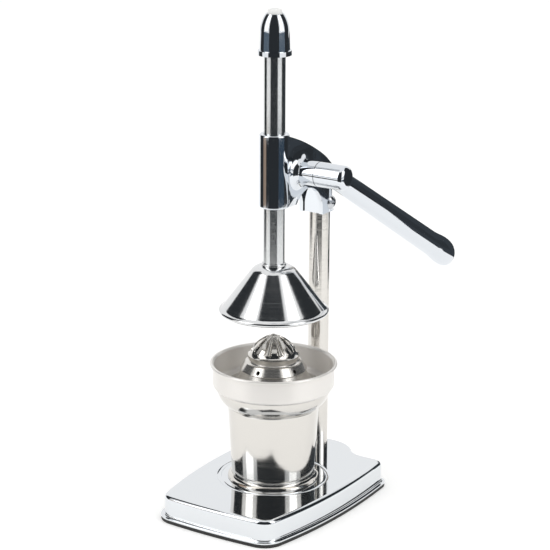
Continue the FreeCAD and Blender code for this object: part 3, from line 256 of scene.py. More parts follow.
def new_material(name, colour, roughness, metallic=1.0, **constants):
    """A material with its shader, its tree and Object coordinates."""
    material = bpy.data.materials.new(name)
    material.use_nodes = True
    tree = material.node_tree
    shader = tree.nodes["Principled BSDF"]
    shader.inputs["Base Color"].default_value = tuple(colour)[:3] + (1.0,)
    shader.inputs["Roughness"].default_value = roughness
    shader.inputs["Metallic"].default_value = metallic
    for name, value in constants.items():
        shader.inputs[name].default_value = value
    material.diffuse_color = tuple(colour)[:3] + (1.0,)
    where = add(tree, "ShaderNodeTexCoord").outputs["Object"]
    return material, tree, shader, where


def noise(tree, where, size_mm, detail):
    """A pattern from 0 to 1, with features of about size_mm."""
    return add(tree, "ShaderNodeTexNoise", {
        "Vector": where, "Scale": per(size_mm), "Detail": detail,
    }).outputs["Fac"]


def emboss(tree, shader, height, deep_mm, strength=1.0):
    """A relief of a depth in mm, from a pattern that runs from 0 to 1."""
    bump = add(tree, "ShaderNodeBump", {
        "Height": height, "Distance": deep_mm * MM, "Strength": strength,
    })
    tree.links.new(bump.outputs["Normal"], shader.inputs["Normal"])


def vary_roughness(tree, shader, height, low, high):
    """Roughness between two values, from a pattern that runs from 0 to 1."""
    spread = add(tree, "ShaderNodeMapRange", {
        "Value": height, "From Min": 0.3, "From Max": 0.7, "To Min": low, "To Max": high,
    })
    tree.links.new(spread.outputs["Result"], shader.inputs["Roughness"])


def rings(tree, where, width_mm, axis_y=0.0):
    """Fine turned marks: a pattern of the distance from an upright axis and of the height."""
    moved = add(tree, "ShaderNodeMapping", {"Vector": where, "Location": (0, -axis_y, 0)})
    parts = add(tree, "ShaderNodeSeparateXYZ", {"Vector": moved.outputs["Vector"]})
    flat = add(tree, "ShaderNodeCombineXYZ", {"X": parts.outputs["X"], "Y": parts.outputs["Y"]})
    reach = add(tree, "ShaderNodeVectorMath", {0: flat.outputs["Vector"]}, operation="LENGTH")
    section = add(tree, "ShaderNodeCombineXYZ", {
        "X": reach.outputs["Value"], "Y": parts.outputs["Z"],
    })
    return add(tree, "ShaderNodeTexNoise", {
        "Vector": section.outputs["Vector"], "Scale": per(width_mm), "Detail": 3.0,
    }, noise_dimensions="2D").outputs["Fac"]


def chrome_plate(finishes):
    """Bright chrome on pressed sheet: a cool mirror, with the faint waves of the drawn sheet."""
    material, tree, shader, where = new_material(
        "chrome_plate_on_pressed_steel", finishes.chrome, 0.05)
    vary_roughness(tree, shader, noise(tree, where, 12, 5.0), 0.04, 0.09)
    emboss(tree, shader, noise(tree, where, 45, 1.0), 0.12)
    return material


def cast_chrome(finishes):
    """Bright chrome on polished castings: a deep mirror with a slight ripple of the plating."""
    material, tree, shader, where = new_material(
        "chrome_plate_on_casting", finishes.cast_chrome, 0.04)
    vary_roughness(tree, shader, noise(tree, where, 9, 4.0), 0.025, 0.07)
    emboss(tree, shader, noise(tree, where, 3.5, 2.0), 0.012)
    return material


def ground_bar(finishes):
    """Centreless-ground steel bar: bands blurred along the bar, speckled by the grinding."""
    material, tree, shader, where = new_material(
        "ground_steel_bar", finishes.steel_bar, 0.16,
        **{"Anisotropic": 0.5, "Anisotropic Rotation": 0.25})
    # The grit is 0.1 mm; it is drawn at 1.1 mm, as coarse as the picture can show
    speckle = noise(tree, where, 1.1, 3.0)
    vary_roughness(tree, shader, speckle, 0.12, 0.24)
    emboss(tree, shader, speckle, 0.010)
    return material


def polished_tube(finishes):
    """Polished stainless tube: long upright bands, a little warm, with faint turning marks."""
    material, tree, shader, where = new_material(
        "polished_stainless_tube", finishes.stainless, 0.14,
        **{"Anisotropic": 0.6, "Anisotropic Rotation": 0.25})
    vary_roughness(tree, shader, rings(tree, where, 1.4, COLUMN_Y * MM), 0.10, 0.20)
    return material


def spun_bell(finishes):
    """Spun and buffed aluminium: near a mirror, with fine rings from the spinning."""
    material, tree, shader, where = new_material(
        "spun_polished_aluminium", finishes.bell, 0.12,
        **{"Anisotropic": 0.55, "Anisotropic Rotation": 0.25})
    # Spinning marks are 0.2 mm apart; they are drawn at 0.9 mm, as coarse as shows
    marks = rings(tree, where, 0.9)
    vary_roughness(tree, shader, marks, 0.09, 0.17)
    emboss(tree, shader, marks, 0.004)
    return material


def drawn_stainless(finishes):
    """Deep-drawn and buffed stainless: a soft warm mirror."""
    material, tree, shader, where = new_material(
        "deep_drawn_stainless", finishes.stainless, 0.12,
        **{"Anisotropic": 0.35, "Anisotropic Rotation": 0.25})
    vary_roughness(tree, shader, rings(tree, where, 1.0), 0.09, 0.15)
    emboss(tree, shader, noise(tree, where, 30, 1.0), 0.1)
    return material


def satin_stainless(name, colour, roughness, metallic):
    """Satin-brushed stainless: pale and even, with the brush's rings."""
    material, tree, shader, where = new_material(
        name, colour, roughness, metallic,
        **{"Anisotropic": 0.6, "Anisotropic Rotation": 0.25})
    # Brush lines are 0.1 mm apart; they are drawn at 0.8 mm, as coarse as shows
    marks = rings(tree, where, 0.8)
    vary_roughness(tree, shader, marks, roughness - 0.05, roughness + 0.06)
    emboss(tree, shader, marks, 0.006)
    return material


def zinc_plate():
    """Bright zinc on pressed screws: a duller, bluish grey with small cloudy spots."""
    material, tree, shader, where = new_material("bright_zinc_plate", linear("#c9ccd0"), 0.2)
    vary_roughness(tree, shader, noise(tree, where, 2.5, 3.0), 0.14, 0.28)
    return material


def gear_steel():
    """Machined steel, lightly oiled: grey, with fine cutter marks."""
    material, tree, shader, where = new_material("machined_oiled_steel", linear("#9a9a98"), 0.32)
    vary_roughness(tree, shader, noise(tree, where, 0.7, 2.0), 0.25, 0.4)
    return material


def moulded_rubber(finishes):
    """Moulded rubber: near black and dull, with a fine grain."""
    material, tree, shader, where = new_material(
        "moulded_black_rubber", finishes.rubber, 0.62, metallic=0.0, **{"IOR": 1.52})
    grain = noise(tree, where, 1.0, 2.0)
    vary_roughness(tree, shader, grain, 0.55, 0.72)
    emboss(tree, shader, grain, 0.05, strength=0.6)
    return material


def white_plastic(finishes):
    """Moulded polypropylene: a clean white with a soft gloss."""
    material, tree, shader, where = new_material(
        "moulded_white_plastic", finishes.plug, 0.28, metallic=0.0, **{"IOR": 1.49})
    vary_roughness(tree, shader, noise(tree, where, 2.0, 2.0), 0.22, 0.34)
    return material


def black_nylon():
    """Moulded nylon washer: black, half matt."""
    material, tree, shader, where = new_material(
        "moulded_black_nylon", linear("#262626"), 0.45, metallic=0.0, **{"IOR": 1.53})
    vary_roughness(tree, shader, noise(tree, where, 1.5, 2.0), 0.4, 0.52)
    return material


def dress(material, *nodes):
    """Gives CAD nodes their finish, with nothing changed in their shape."""
    for node in nodes:
        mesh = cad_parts[node].data
        mesh.materials.clear()
        mesh.materials.append(material)


# Shaping

def select_only(thing):
    bpy.ops.object.select_all(action="DESELECT")
    thing.select_set(True)
    bpy.context.view_layer.objects.active = thing


def arc_middle(start, end, radius):
    """Centre of an arc from start to end: on the left for a positive radius."""
    chord = end - start
    left = Vector((-chord.y, chord.x)).normalized()
    rise = math.sqrt(radius * radius - chord.length_squared / 4)
    return (start + end) / 2 + left * math.copysign(rise, radius)


def bow(start, end, radius):
    """Points of an arc up to end, in mm."""
    centre = arc_middle(start, end, radius)
    first = math.atan2(start.y - centre.y, start.x - centre.x)
    sweep = math.copysign(2 * math.asin((end - start).length / 2 / abs(radius)), radius)
    steps = max(3, math.ceil(abs(sweep) / math.radians(9)), math.ceil(abs(sweep * radius) / 6))
    angles = [first + sweep * step / steps for step in range(1, steps + 1)]
    return [centre + Vector((math.cos(a), math.sin(a))) * abs(radius) for a in angles]


def section(corners):
    """Corners (reach, height) in mm as points; a third number is the arc that arrives there."""
    points = [Vector(corners[0][:2])]
    for corner in corners[1:]:
        end = Vector(corner[:2])
        points += bow(points[-1], end, corner[2]) if len(corner) > 2 else [end]
    return points


def smooth(piece, degrees=32):
    """Smooth shading that leaves flat faces flat and keeps the sharp edges."""
    select_only(piece)
    bpy.ops.object.shade_smooth_by_angle(angle=math.radians(degrees))
    even = piece.modifiers.new("even", "WEIGHTED_NORMAL")
    even.keep_sharp = True
    even.weight = 100
    bpy.ops.object.modifier_apply(modifier=even.name)


def pen(name, points, start, level, up=Vector((0, 0, 1))):
    """Draws edges through points (level, up) in mm with one vertex, from a start in mm."""
    bpy.ops.object.select_all(action="DESELECT")
    bpy.ops.mesh.primitive_plane_add(size=MM)
    piece = bpy.context.object
    piece.name = name
    bpy.ops.object.mode_set(mode="EDIT")
    bpy.ops.mesh.select_mode(type="VERT")
    bpy.ops.mesh.select_all(action="SELECT")
    bpy.ops.mesh.merge(type="CENTER")
    bpy.ops.transform.translate(value=(Vector(start) + level * points[0].x + up * points[0].y) * MM)
    for first, second in zip(points, points[1:]):
        step = (level * (second.x - first.x) + up * (second.y - first.y)) * MM
        bpy.ops.mesh.extrude_vertices_move(TRANSFORM_OT_translate={"value": step})
    bpy.ops.mesh.select_all(action="SELECT")
    return piece


def close_up():
    """Merges what meets and turns the faces outwards."""
    bpy.ops.mesh.select_all(action="SELECT")
    bpy.ops.mesh.remove_doubles(threshold=0.01 * MM)
    bpy.ops.mesh.normals_make_consistent(inside=False)
    bpy.ops.object.mode_set(mode="OBJECT")


def turned(name, corners, centre=(0, 0, 0), axis="Z", steps=144):
    """A closed section spun round an upright axis, or round one that lies along X."""
    points = section(corners)
    piece = pen(name, points + points[:1], centre, Vector((1, 0, 0)))
    line = (0, 0, 1) if axis == "Z" else (1, 0, 0)
    bpy.ops.mesh.spin(steps=steps, angle=math.tau, center=Vector(centre) * MM, axis=line)
    close_up()
    return piece


def slab(name, corners, half_wide):
    """A section in the Y-Z plane, given its width along X."""
    points = section(corners)
    piece = pen(name, points + points[:1], (-half_wide, 0, 0), Vector((0, 1, 0)))
    bpy.ops.mesh.remove_doubles(threshold=0.01 * MM)
    bpy.ops.mesh.edge_face_add()
    bpy.ops.mesh.extrude_region_move(TRANSFORM_OT_translate={"value": (half_wide * 2 * MM, 0, 0)})
    close_up()
    return piece


def block(low, high):
    """A box between two corners in mm, to cut or join with."""
    low, high = Vector(low) * MM, Vector(high) * MM
    bpy.ops.object.select_all(action="DESELECT")
    bpy.ops.mesh.primitive_cube_add(size=1, location=(low + high) / 2, scale=high - low)
    return bpy.context.object


def bar(radius, start, length, axis="Z"):
    """A round bar from a start in mm, to cut or join with."""
    along = Vector((0, 0, 1)) if axis == "Z" else Vector((1, 0, 0))
    turn = (0, 0, 0) if axis == "Z" else (0, math.radians(90), 0)
    bpy.ops.object.select_all(action="DESELECT")
    bpy.ops.mesh.primitive_cylinder_add(
        vertices=96, radius=radius * MM, depth=length * MM, rotation=turn,
        location=(Vector(start) + along * length / 2) * MM)
    return bpy.context.object


def copy_of(node):
    """A merged copy of a CAD node's mesh, to be reshaped as a piece of its own."""
    piece = bpy.data.objects.new(node + "_shaped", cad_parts[node].data.copy())
    bpy.context.scene.collection.objects.link(piece)
    select_only(piece)
    bpy.ops.object.mode_set(mode="EDIT")
    bpy.ops.mesh.select_mode(type="VERT")
    bpy.ops.mesh.select_all(action="SELECT")
    bpy.ops.mesh.remove_doubles(threshold=0.002 * MM)
    bpy.ops.mesh.dissolve_limited(angle_limit=math.radians(0.3))
    bpy.ops.mesh.select_all(action="DESELECT")
    bpy.ops.object.mode_set(mode="OBJECT")
    return piece


def clear_choice(piece, kind):
    """Leaves nothing of a piece selected, with vertices, edges or faces next to be chosen."""
    select_only(piece)
    bpy.ops.object.mode_set(mode="EDIT")
    bpy.ops.mesh.select_mode(type=kind)
    bpy.ops.mesh.select_all(action="DESELECT")
    bpy.ops.object.mode_set(mode="OBJECT")


def pick(piece, wanted):
    """Selects the vertices whose place in mm meets the test, and nothing else."""
    clear_choice(piece, "VERT")
    for vertex in piece.data.vertices:
        vertex.select = wanted(vertex.co / MM)
    return [vertex.index for vertex in piece.data.vertices if vertex.select]


def combine(piece, others, operation):
    """Cuts the others away from the piece, or joins them to it, and removes them."""
    for other in others:
        select_only(piece)
        tool = piece.modifiers.new("combine", "BOOLEAN")
        tool.operation = operation
        tool.solver = "EXACT"
        tool.object = other
        bpy.ops.object.modifier_apply(modifier=tool.name)
        bpy.data.objects.remove(other)


def hand_over(piece, material, body, node):
    """Gives a piece its shading, its finish and its body, and hides the CAD node that it stands
    for.
    """
    smooth(piece)
    piece.data.materials.clear()
    piece.data.materials.append(material)
    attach(piece, body)
    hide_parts(node)


def outline_face(name, height):
    """The base's outline as one face that looks up, at a height in mm, left in edit mode."""
    points = section(BASE_OUTLINE)
    piece = pen(name, points, (0, 0, height), Vector((1, 0, 0)), Vector((0, 1, 0)))
    bpy.ops.mesh.remove_doubles(threshold=0.05 * MM)
    bpy.ops.mesh.edge_face_add()
    bpy.ops.mesh.select_mode(type="FACE")
    bpy.ops.mesh.select_all(action="SELECT")
    bpy.ops.object.mode_set(mode="OBJECT")
    facing_down = piece.data.polygons[0].normal.z < 0
    bpy.ops.object.mode_set(mode="EDIT")
    if facing_down:
        bpy.ops.mesh.flip_normals()
    return piece


def fill_open_edge():
    """Fills the open edge of what is drawn, and closes it up."""
    bpy.ops.mesh.select_mode(type="EDGE")
    bpy.ops.mesh.select_all(action="DESELECT")
    bpy.ops.mesh.select_non_manifold()
    bpy.ops.mesh.edge_face_add()
    close_up()


def quarter_round(radius, count):
    """Points of a quarter round that leaves level ground: how far along and how far up."""
    angles = [math.radians(90 * step / count) for step in range(1, count + 1)]
    return [(radius * math.sin(angle), radius * (1 - math.cos(angle))) for angle in angles]


def base_section(tall):
    """Hem, skirt and rounded top edge: how far inwards and how far up from the hem's edge."""
    flat = HEM_WIDE - HEM_ROUND
    skirt = tall - BASE_ROUND
    steps = [(0, BASE_SHEET), (flat, BASE_SHEET)]
    steps += [(flat + along, BASE_SHEET + up) for along, up in quarter_round(HEM_ROUND, 4)]
    steps += [(HEM_WIDE, skirt)]
    steps += [(HEM_WIDE + up, skirt + along) for along, up in quarter_round(BASE_ROUND, 8)]
    return steps


def pressed_base():
    """Sheet base, drawn by insets, with the groove pressed round the cup's place."""
    low, high = (corner.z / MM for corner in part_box("base_shell"))
    piece = outline_face("pressed_base", low)
    last = (0, 0)
    for step in base_section(high - low):
        inwards, rise = step[0] - last[0], step[1] - last[1]
        if inwards < 0.001:
            bpy.ops.mesh.extrude_region_move(TRANSFORM_OT_translate={"value": (0, 0, rise * MM)})
        else:
            bpy.ops.mesh.inset(thickness=inwards * MM, depth=rise * MM, use_even_offset=True)
        last = step
    fill_open_edge()
    bpy.ops.object.select_all(action="DESELECT")
    bpy.ops.mesh.primitive_torus_add(
        major_radius=GROOVE_REACH * MM, minor_radius=GROOVE_TOOL * MM,
        major_segments=144, minor_segments=48,
        location=(0, 0, (high + GROOVE_TOOL - GROOVE_DEEP) * MM))
    combine(piece, [bpy.context.object], "DIFFERENCE")
    clear_choice(piece, "FACE")
    for face in piece.data.polygons:
        face.select = face.normal.z < -0.9 and abs(face.center.z / MM - low) < 0.1
    bpy.ops.object.mode_set(mode="EDIT")
    bpy.ops.mesh.delete(type="ONLY_FACE")
    bpy.ops.object.mode_set(mode="OBJECT")
    sheet = piece.modifiers.new("sheet", "SOLIDIFY")
    sheet.thickness = BASE_SHEET * MM
    sheet.offset = -1
    bpy.ops.object.modifier_apply(modifier=sheet.name)
    return piece


def rubber_sole():
    """Rubber mat under the hem, with softened edges."""
    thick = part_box("base_mat")[1].z
    piece = outline_face("rubber_sole", 0)
    bpy.ops.transform.resize(value=(SOLE_SHARE, SOLE_SHARE, 1), center_override=(0, 0, 0))
    bpy.ops.mesh.extrude_region_move(TRANSFORM_OT_translate={"value": (0, 0, thick)})
    fill_open_edge()
    clear_choice(piece, "EDGE")
    for edge in piece.data.edges:
        first, second = (piece.data.vertices[i].co for i in edge.vertices)
        edge.select = abs(first.z - second.z) < 0.01 * MM
    bpy.ops.object.mode_set(mode="EDIT")
    bpy.ops.mesh.bevel(offset=SOLE_ROUND * MM, segments=3, affect="EDGES")
    bpy.ops.object.mode_set(mode="OBJECT")
    return piece


def on_top_edge(place):
    """Whether a place in mm lies on the casting's sloping top."""
    points = [Vector(corner[:2]) for corner in CASTING_TOP]
    spot = Vector((place.y, place.z))
    for start, end, corner in zip(points, points[1:], CASTING_TOP[1:]):
        off = abs((spot - arc_middle(start, end, corner[2])).length - corner[2])
        if off < 0.15 and end.x - 0.1 < place.y < start.x + 0.1 and place.z > start.y - 0.1:
            return True
    return False


def at_side(place):
    """Whether a place in mm lies on the casting's flat sides or on its round back."""
    if place.y > COLUMN_Y and abs(math.hypot(place.x, place.y - COLUMN_Y) - CASTING_BACK) < 0.1:
        return True
    return abs(abs(place.x) - CASTING_HALF) < 0.05


def casting():
    """Guide, hollow body with rounded top edges, socket and boss, joined and bored."""
    body = slab("hollow_casting", CASTING_SIDE, CASTING_BACK)
    plan = block((-CASTING_HALF, 0, CUT_LOW), (CASTING_HALF, COLUMN_Y, CUT_HIGH))
    back = bar(CASTING_BACK, (0, COLUMN_Y, CUT_LOW), CUT_HIGH - CUT_LOW)
    combine(plan, [back], "UNION")
    combine(body, [plan], "INTERSECT")
    corners = set(pick(body, lambda place: on_top_edge(place) and at_side(place)))
    if len(corners) < 12:
        raise RuntimeError("the casting's top edge wasn't found")
    # The top's faces stay chosen by their corners, and the bevel takes their edges as well
    bpy.ops.object.mode_set(mode="EDIT")
    bpy.ops.mesh.select_mode(type="EDGE")
    bpy.ops.object.mode_set(mode="OBJECT")
    for edge in body.data.edges:
        first, second = (body.data.vertices[i].co for i in edge.vertices)
        runs = abs(first.x - second.x) < 4 * MM and (first - second).length > 0.05 * MM
        edge.select = runs and corners.issuperset(edge.vertices)
    bpy.ops.object.mode_set(mode="EDIT")
    bpy.ops.mesh.bevel(offset=CASTING_EDGE * MM, segments=5, affect="EDGES", clamp_overlap=True)
    bpy.ops.object.mode_set(mode="OBJECT")
    combine(body, [turned("guide", GUIDE), turned("boss", BOSS, SHAFT, "X", 96)], "UNION")
    bore_low, bore_high = SHAFT_BORE_ENDS
    combine(body, [
        bar(PLUNGER_BORE, (0, 0, PLUNGER_CUT_LOW), CUT_HIGH - PLUNGER_CUT_LOW),
        bar(COLUMN_BORE, (0, COLUMN_Y, CUT_LOW), COLUMN_TOP - CUT_LOW),
        bar(SHAFT_BORE, (bore_low, SHAFT[1], SHAFT[2]), bore_high - bore_low, "X"),
        slab("hollow", CASTING_HOLLOW, HOLLOW_HALF),
        bar(PINION_ROOM, (-HOLLOW_HALF, SHAFT[1], SHAFT[2]), 2 * HOLLOW_HALF, "X"),
        bar(SCREW_SEAT, (CASTING_HALF, COLUMN_Y, SCREW_LEVEL), CASTING_BACK, "X"),
    ], "DIFFERENCE")
    return body


def shortened_column():
    """The column's tube, with its upper end brought down inside the casting."""
    tube = copy_of("column")
    if not pick(tube, lambda place: place.z > COLUMN_TOP):
        raise RuntimeError("the column's upper end wasn't found")
    drop = COLUMN_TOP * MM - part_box("column")[1].z
    bpy.ops.object.mode_set(mode="EDIT")
    bpy.ops.transform.translate(value=(0, 0, drop))
    bpy.ops.object.mode_set(mode="OBJECT")
    return tube


def clamp_screw():
    """The socket's screw, with a cross recess cut in its head."""
    screw = copy_of("column_screw")
    floor = CASTING_HALF + RECESS_FLOOR
    slots = [
        block((floor, COLUMN_Y - wide, SCREW_LEVEL - tall),
              (floor + RECESS_CUT, COLUMN_Y + wide, SCREW_LEVEL + tall))
        for wide, tall in ((RECESS_HALF, RECESS_SLOT_HALF), (RECESS_SLOT_HALF, RECESS_HALF))
    ]
    combine(screw, slots, "DIFFERENCE")
    return screw


def arm_half(place):
    """Half width of the arm at a distance from the shaft, in mm."""
    root, neck, knob = ARM_HALVES
    root_at, neck_at, knob_at = ARM_PLACES
    if place <= neck_at:
        return root + (neck - root) * (place - root_at) / (neck_at - root_at)
    if place <= knob_at:
        run = (place - neck_at) / (knob_at - neck_at)
        return neck + (knob - neck) * run * run * (3 - 2 * run)
    run = (place - knob_at) / (ARM_LONG - knob_at)
    return knob * (1 - run ** ARM_END_FULLNESS) ** (1 / ARM_END_FULLNESS)


def lever_arm():
    """Oval arm drawn ring by ring from the shaft outwards, then turned down to its place."""
    root_at, neck_at, knob_at = ARM_PLACES
    places = [root_at, 60, 120, 170, neck_at]
    places += [neck_at + (knob_at - neck_at) * step / 8 for step in range(1, 9)]
    places += [knob_at + (ARM_LONG - knob_at) * math.sin(math.radians(turn))
               for turn in range(8, 96, 8)]
    bpy.ops.object.select_all(action="DESELECT")
    bpy.ops.mesh.primitive_circle_add(vertices=72, radius=arm_half(root_at) * MM,
                                      rotation=(math.radians(90), 0, 0))
    arm = bpy.context.object
    arm.name = "lever_arm"
    bpy.ops.object.transform_apply(rotation=True)
    bpy.ops.object.mode_set(mode="EDIT")
    bpy.ops.mesh.select_all(action="SELECT")
    bpy.ops.mesh.edge_face_add()
    bpy.ops.transform.resize(value=(ARM_FLATNESS, 1, 1), center_override=(0, 0, 0))
    bpy.ops.transform.translate(value=(ARM_ACROSS * MM, root_at * MM, -ARM_SUNK * MM))
    for last, place in zip(places, places[1:]):
        bpy.ops.mesh.extrude_region_move(
            TRANSFORM_OT_translate={"value": (0, (place - last) * MM, 0)})
        ratio = arm_half(place) / arm_half(last)
        bpy.ops.transform.resize(
            value=(ratio, 1, ratio),
            center_override=(ARM_ACROSS * MM, place * MM, -ARM_SUNK * MM))
    bpy.ops.mesh.select_all(action="SELECT")
    bpy.ops.mesh.normals_make_consistent(inside=False)
    bpy.ops.object.mode_set(mode="OBJECT")
    arm.location = Vector(SHAFT) * MM
    arm.rotation_euler.x = -math.radians(ARM_DROP)
    bpy.ops.object.transform_apply(location=True, rotation=True)
    return arm


def lever_piece():
    """The lever's own hub, with its arm drawn anew."""
    hub = copy_of("lever")
    along = Vector((0, math.cos(math.radians(ARM_DROP)), -math.sin(math.radians(ARM_DROP))))
    bpy.ops.object.mode_set(mode="EDIT")
    bpy.ops.mesh.select_all(action="SELECT")
    bpy.ops.mesh.bisect(plane_co=(Vector(SHAFT) + along * HUB_REACH) * MM, plane_no=along,
                        use_fill=True, clear_outer=True)
    bpy.ops.object.mode_set(mode="OBJECT")
    combine(hub, [lever_arm()], "UNION")
    return hub


def holed_strainer():
    """The strainer's skirt and collar, drilled for the juice."""
    strainer = turned("holed_strainer", STRAINER)
    drills = []
    for number in range(STRAINER_HOLES):
        angle = math.radians(FIRST_HOLE) + math.tau * number / STRAINER_HOLES
        place = (math.cos(angle) * HOLE_REACH, math.sin(angle) * HOLE_REACH, HOLE_LEVEL)
        bpy.ops.mesh.primitive_cylinder_add(
            vertices=24, radius=HOLE_RADIUS * MM, depth=DRILL_LONG * MM,
            location=Vector(place) * MM, rotation=(0, math.radians(90), angle))
        drills.append(bpy.context.object)
    combine(strainer, drills, "DIFFERENCE")
    return strainer


def raised_reamer():
    """The fluted reamer, raised onto the strainer's collar."""
    reamer = copy_of("reamer")
    pick(reamer, lambda place: True)
    bpy.ops.object.mode_set(mode="EDIT")
    bpy.ops.transform.translate(value=(0, 0, REAMER_LIFT * MM))
    bpy.ops.transform.resize(
        value=(1, 1, REAMER_SHARE), center_override=(0, 0, REAMER_FOOT * MM))
    bpy.ops.object.mode_set(mode="OBJECT")
    return reamer


# Pieces

class PRESS_OT_base(bpy.types.Operator):
    """Finish the pressed base, its mat and what bolts the column to it"""
    bl_idname = "press.base"
    bl_label = "Base"

    def execute(self, context):
        finishes = context.scene.press_finishes
        hand_over(pressed_base(), chrome_plate(finishes), "stand", "base_shell")
        hand_over(rubber_sole(), moulded_rubber(finishes), "stand", "base_mat")
        dress(zinc_plate(), "base_plate", "bolt_washer", "column_bolt", "column_plug")
        return {"FINISHED"}


class PRESS_OT_column(bpy.types.Operator):
    """Finish the castings, which are the guide, the lever and the cap, and the column"""
    bl_idname = "press.column"
    bl_label = "Column and castings"

    def execute(self, context):
        finishes = context.scene.press_finishes
        chrome = cast_chrome(finishes)
        tube = polished_tube(finishes)
        dress(chrome, "ram_cap")
        hand_over(casting(), chrome, "stand", "guide_casting")
        hand_over(lever_piece(), chrome, "lever", "lever")
        hand_over(shortened_column(), tube, "stand", "column")
        hand_over(clamp_screw(), zinc_plate(), "stand", "column_screw")
        return {"FINISHED"}


class PRESS_OT_plunger(bpy.types.Operator):
    """Finish the plunger's bar, its bell, its screws and the plug in its cap"""
    bl_idname = "press.plunger"
    bl_label = "Plunger"

    def execute(self, context):
        finishes = context.scene.press_finishes
        dress(ground_bar(finishes), "ram_rod")
        aluminium = spun_bell(finishes)
        hand_over(turned("bell", BELL), aluminium, "ram", "press_cone")
        dress(zinc_plate(), "cone_washer", "cone_screw", "cap_screw")
        dress(white_plastic(finishes), "cap_plug")
        return {"FINISHED"}


class PRESS_OT_lever(bpy.types.Operator):
    """Finish the pinion, its shaft and washers"""
    bl_idname = "press.lever"
    bl_label = "Pinion and shaft"

    def execute(self, context):
        dress(gear_steel(), "pinion", "pinion_shaft", "pinion_pin", "friction_washer",
              "hub_set_screw")
        dress(black_nylon(), "thrust_washer")
        dress(zinc_plate(), "end_washer", "end_screw")
        return {"FINISHED"}


class PRESS_OT_cup(bpy.types.Operator):
    """Finish the cup, tray, strainer and reamer"""
    bl_idname = "press.cup"
    bl_label = "Cup and strainer"

    def execute(self, context):
        finishes = context.scene.press_finishes
        drawn = drawn_stainless(finishes)
        satin = satin_stainless("satin_brushed_stainless", linear("#f1eeea"), 0.34, 0.45)
        half_satin = satin_stainless("half_satin_stainless", finishes.stainless, 0.2, 0.88)
        hand_over(turned("deep_cup", CUP), drawn, "cup", "cup")
        hand_over(turned("rimmed_tray", TRAY), satin, "tray", "tray")
        hand_over(holed_strainer(), half_satin, "strainer", "strainer")
        hand_over(raised_reamer(), drawn, "strainer", "reamer")
        return {"FINISHED"}


# Studio

def camera_matrix(studio):
    """Where the camera stands and how it is turned."""
    azimuth = studio.azimuth
    back = Vector((
        math.sin(azimuth) * math.cos(studio.pitch),
        -math.cos(azimuth) * math.cos(studio.pitch),
        math.sin(studio.pitch),
    ))
    right = Vector((math.cos(azimuth), math.sin(azimuth), 0))
    turn = Matrix.Rotation(studio.yaw, 3, "Z")
    back = turn @ back
    right = turn @ right
    up = back.cross(right)
    cos_roll = math.cos(studio.roll)
    sin_roll = math.sin(studio.roll)
    axes = Matrix((
        right * cos_roll + up * sin_roll,
        up * cos_roll - right * sin_roll,
        back,
    )).transposed()
    place = Vector((
        math.sin(azimuth) * studio.reach,
        -math.cos(azimuth) * studio.reach,
        studio.height,
    ))
    return Matrix.Translation(place) @ axes.to_4x4()


def arc_card(name, start, end, low, high, radius, material):
    """An upright curved card round the plunger's axis, seen only in reflections."""
    bpy.ops.mesh.primitive_plane_add(size=1)
    card = bpy.context.object
    card.name = name
    mesh = card.data
    for vertex in mesh.vertices:
        level = high if vertex.co.y > 0 else low
        vertex.co = Vector((math.cos(start) * radius, math.sin(start) * radius, level))
    bpy.ops.object.mode_set(mode="EDIT")
    bpy.ops.mesh.select_all(action="SELECT")
    bpy.ops.mesh.remove_doubles(threshold=0.001)
    bpy.ops.mesh.spin(steps=24, angle=start - end, center=(0, 0, 0), axis=(0, 0, 1))
    bpy.ops.object.mode_set(mode="OBJECT")
    mesh.materials.append(material)
    card.visible_camera = False
    card.visible_diffuse = False
    card.visible_shadow = False
    return card


def card_material(name, code):
    """A card that glows with one even tone and is lit by no lamp: metal shows the tone as a painted
    reflection.
    """
    material = bpy.data.materials.new(name)
    material.use_nodes = True
    tree = material.node_tree
    tree.nodes.clear()
    glow = add(tree, "ShaderNodeEmission", {"Color": linear(code), "Strength": 1.0})
    add(tree, "ShaderNodeOutputMaterial", {"Surface": glow.outputs["Emission"]})
    return material


def background_ray(tree):
    """1 for a ray that looks at the background: from the camera, or by reflection or glass."""
    path = add(tree, "ShaderNodeLightPath")
    either = add(tree, "ShaderNodeMath", {
        0: path.outputs["Is Camera Ray"], 1: path.outputs["Is Glossy Ray"],
    }, operation="MAXIMUM")
    return add(tree, "ShaderNodeMath", {
        0: either.outputs["Value"], 1: path.outputs["Is Transmission Ray"],
    }, operation="MAXIMUM").outputs["Value"]


def floor_material():
    """Pale matt card: as white as the backdrop where nothing shades it."""
    material, tree, shader, where = new_material(
        "pale_matt_floor", linear("#f4f4f3"), 0.9, metallic=0.0)
    vary_roughness(tree, shader, noise(tree, where, 4, 2.0), 0.85, 0.95)
    glow = add(tree, "ShaderNodeMath", {0: background_ray(tree), 1: 0.28}, operation="MULTIPLY")
    shader.inputs["Emission Color"].default_value = (1, 1, 1, 1)
    tree.links.new(glow.outputs["Value"], shader.inputs["Emission Strength"])
    return material


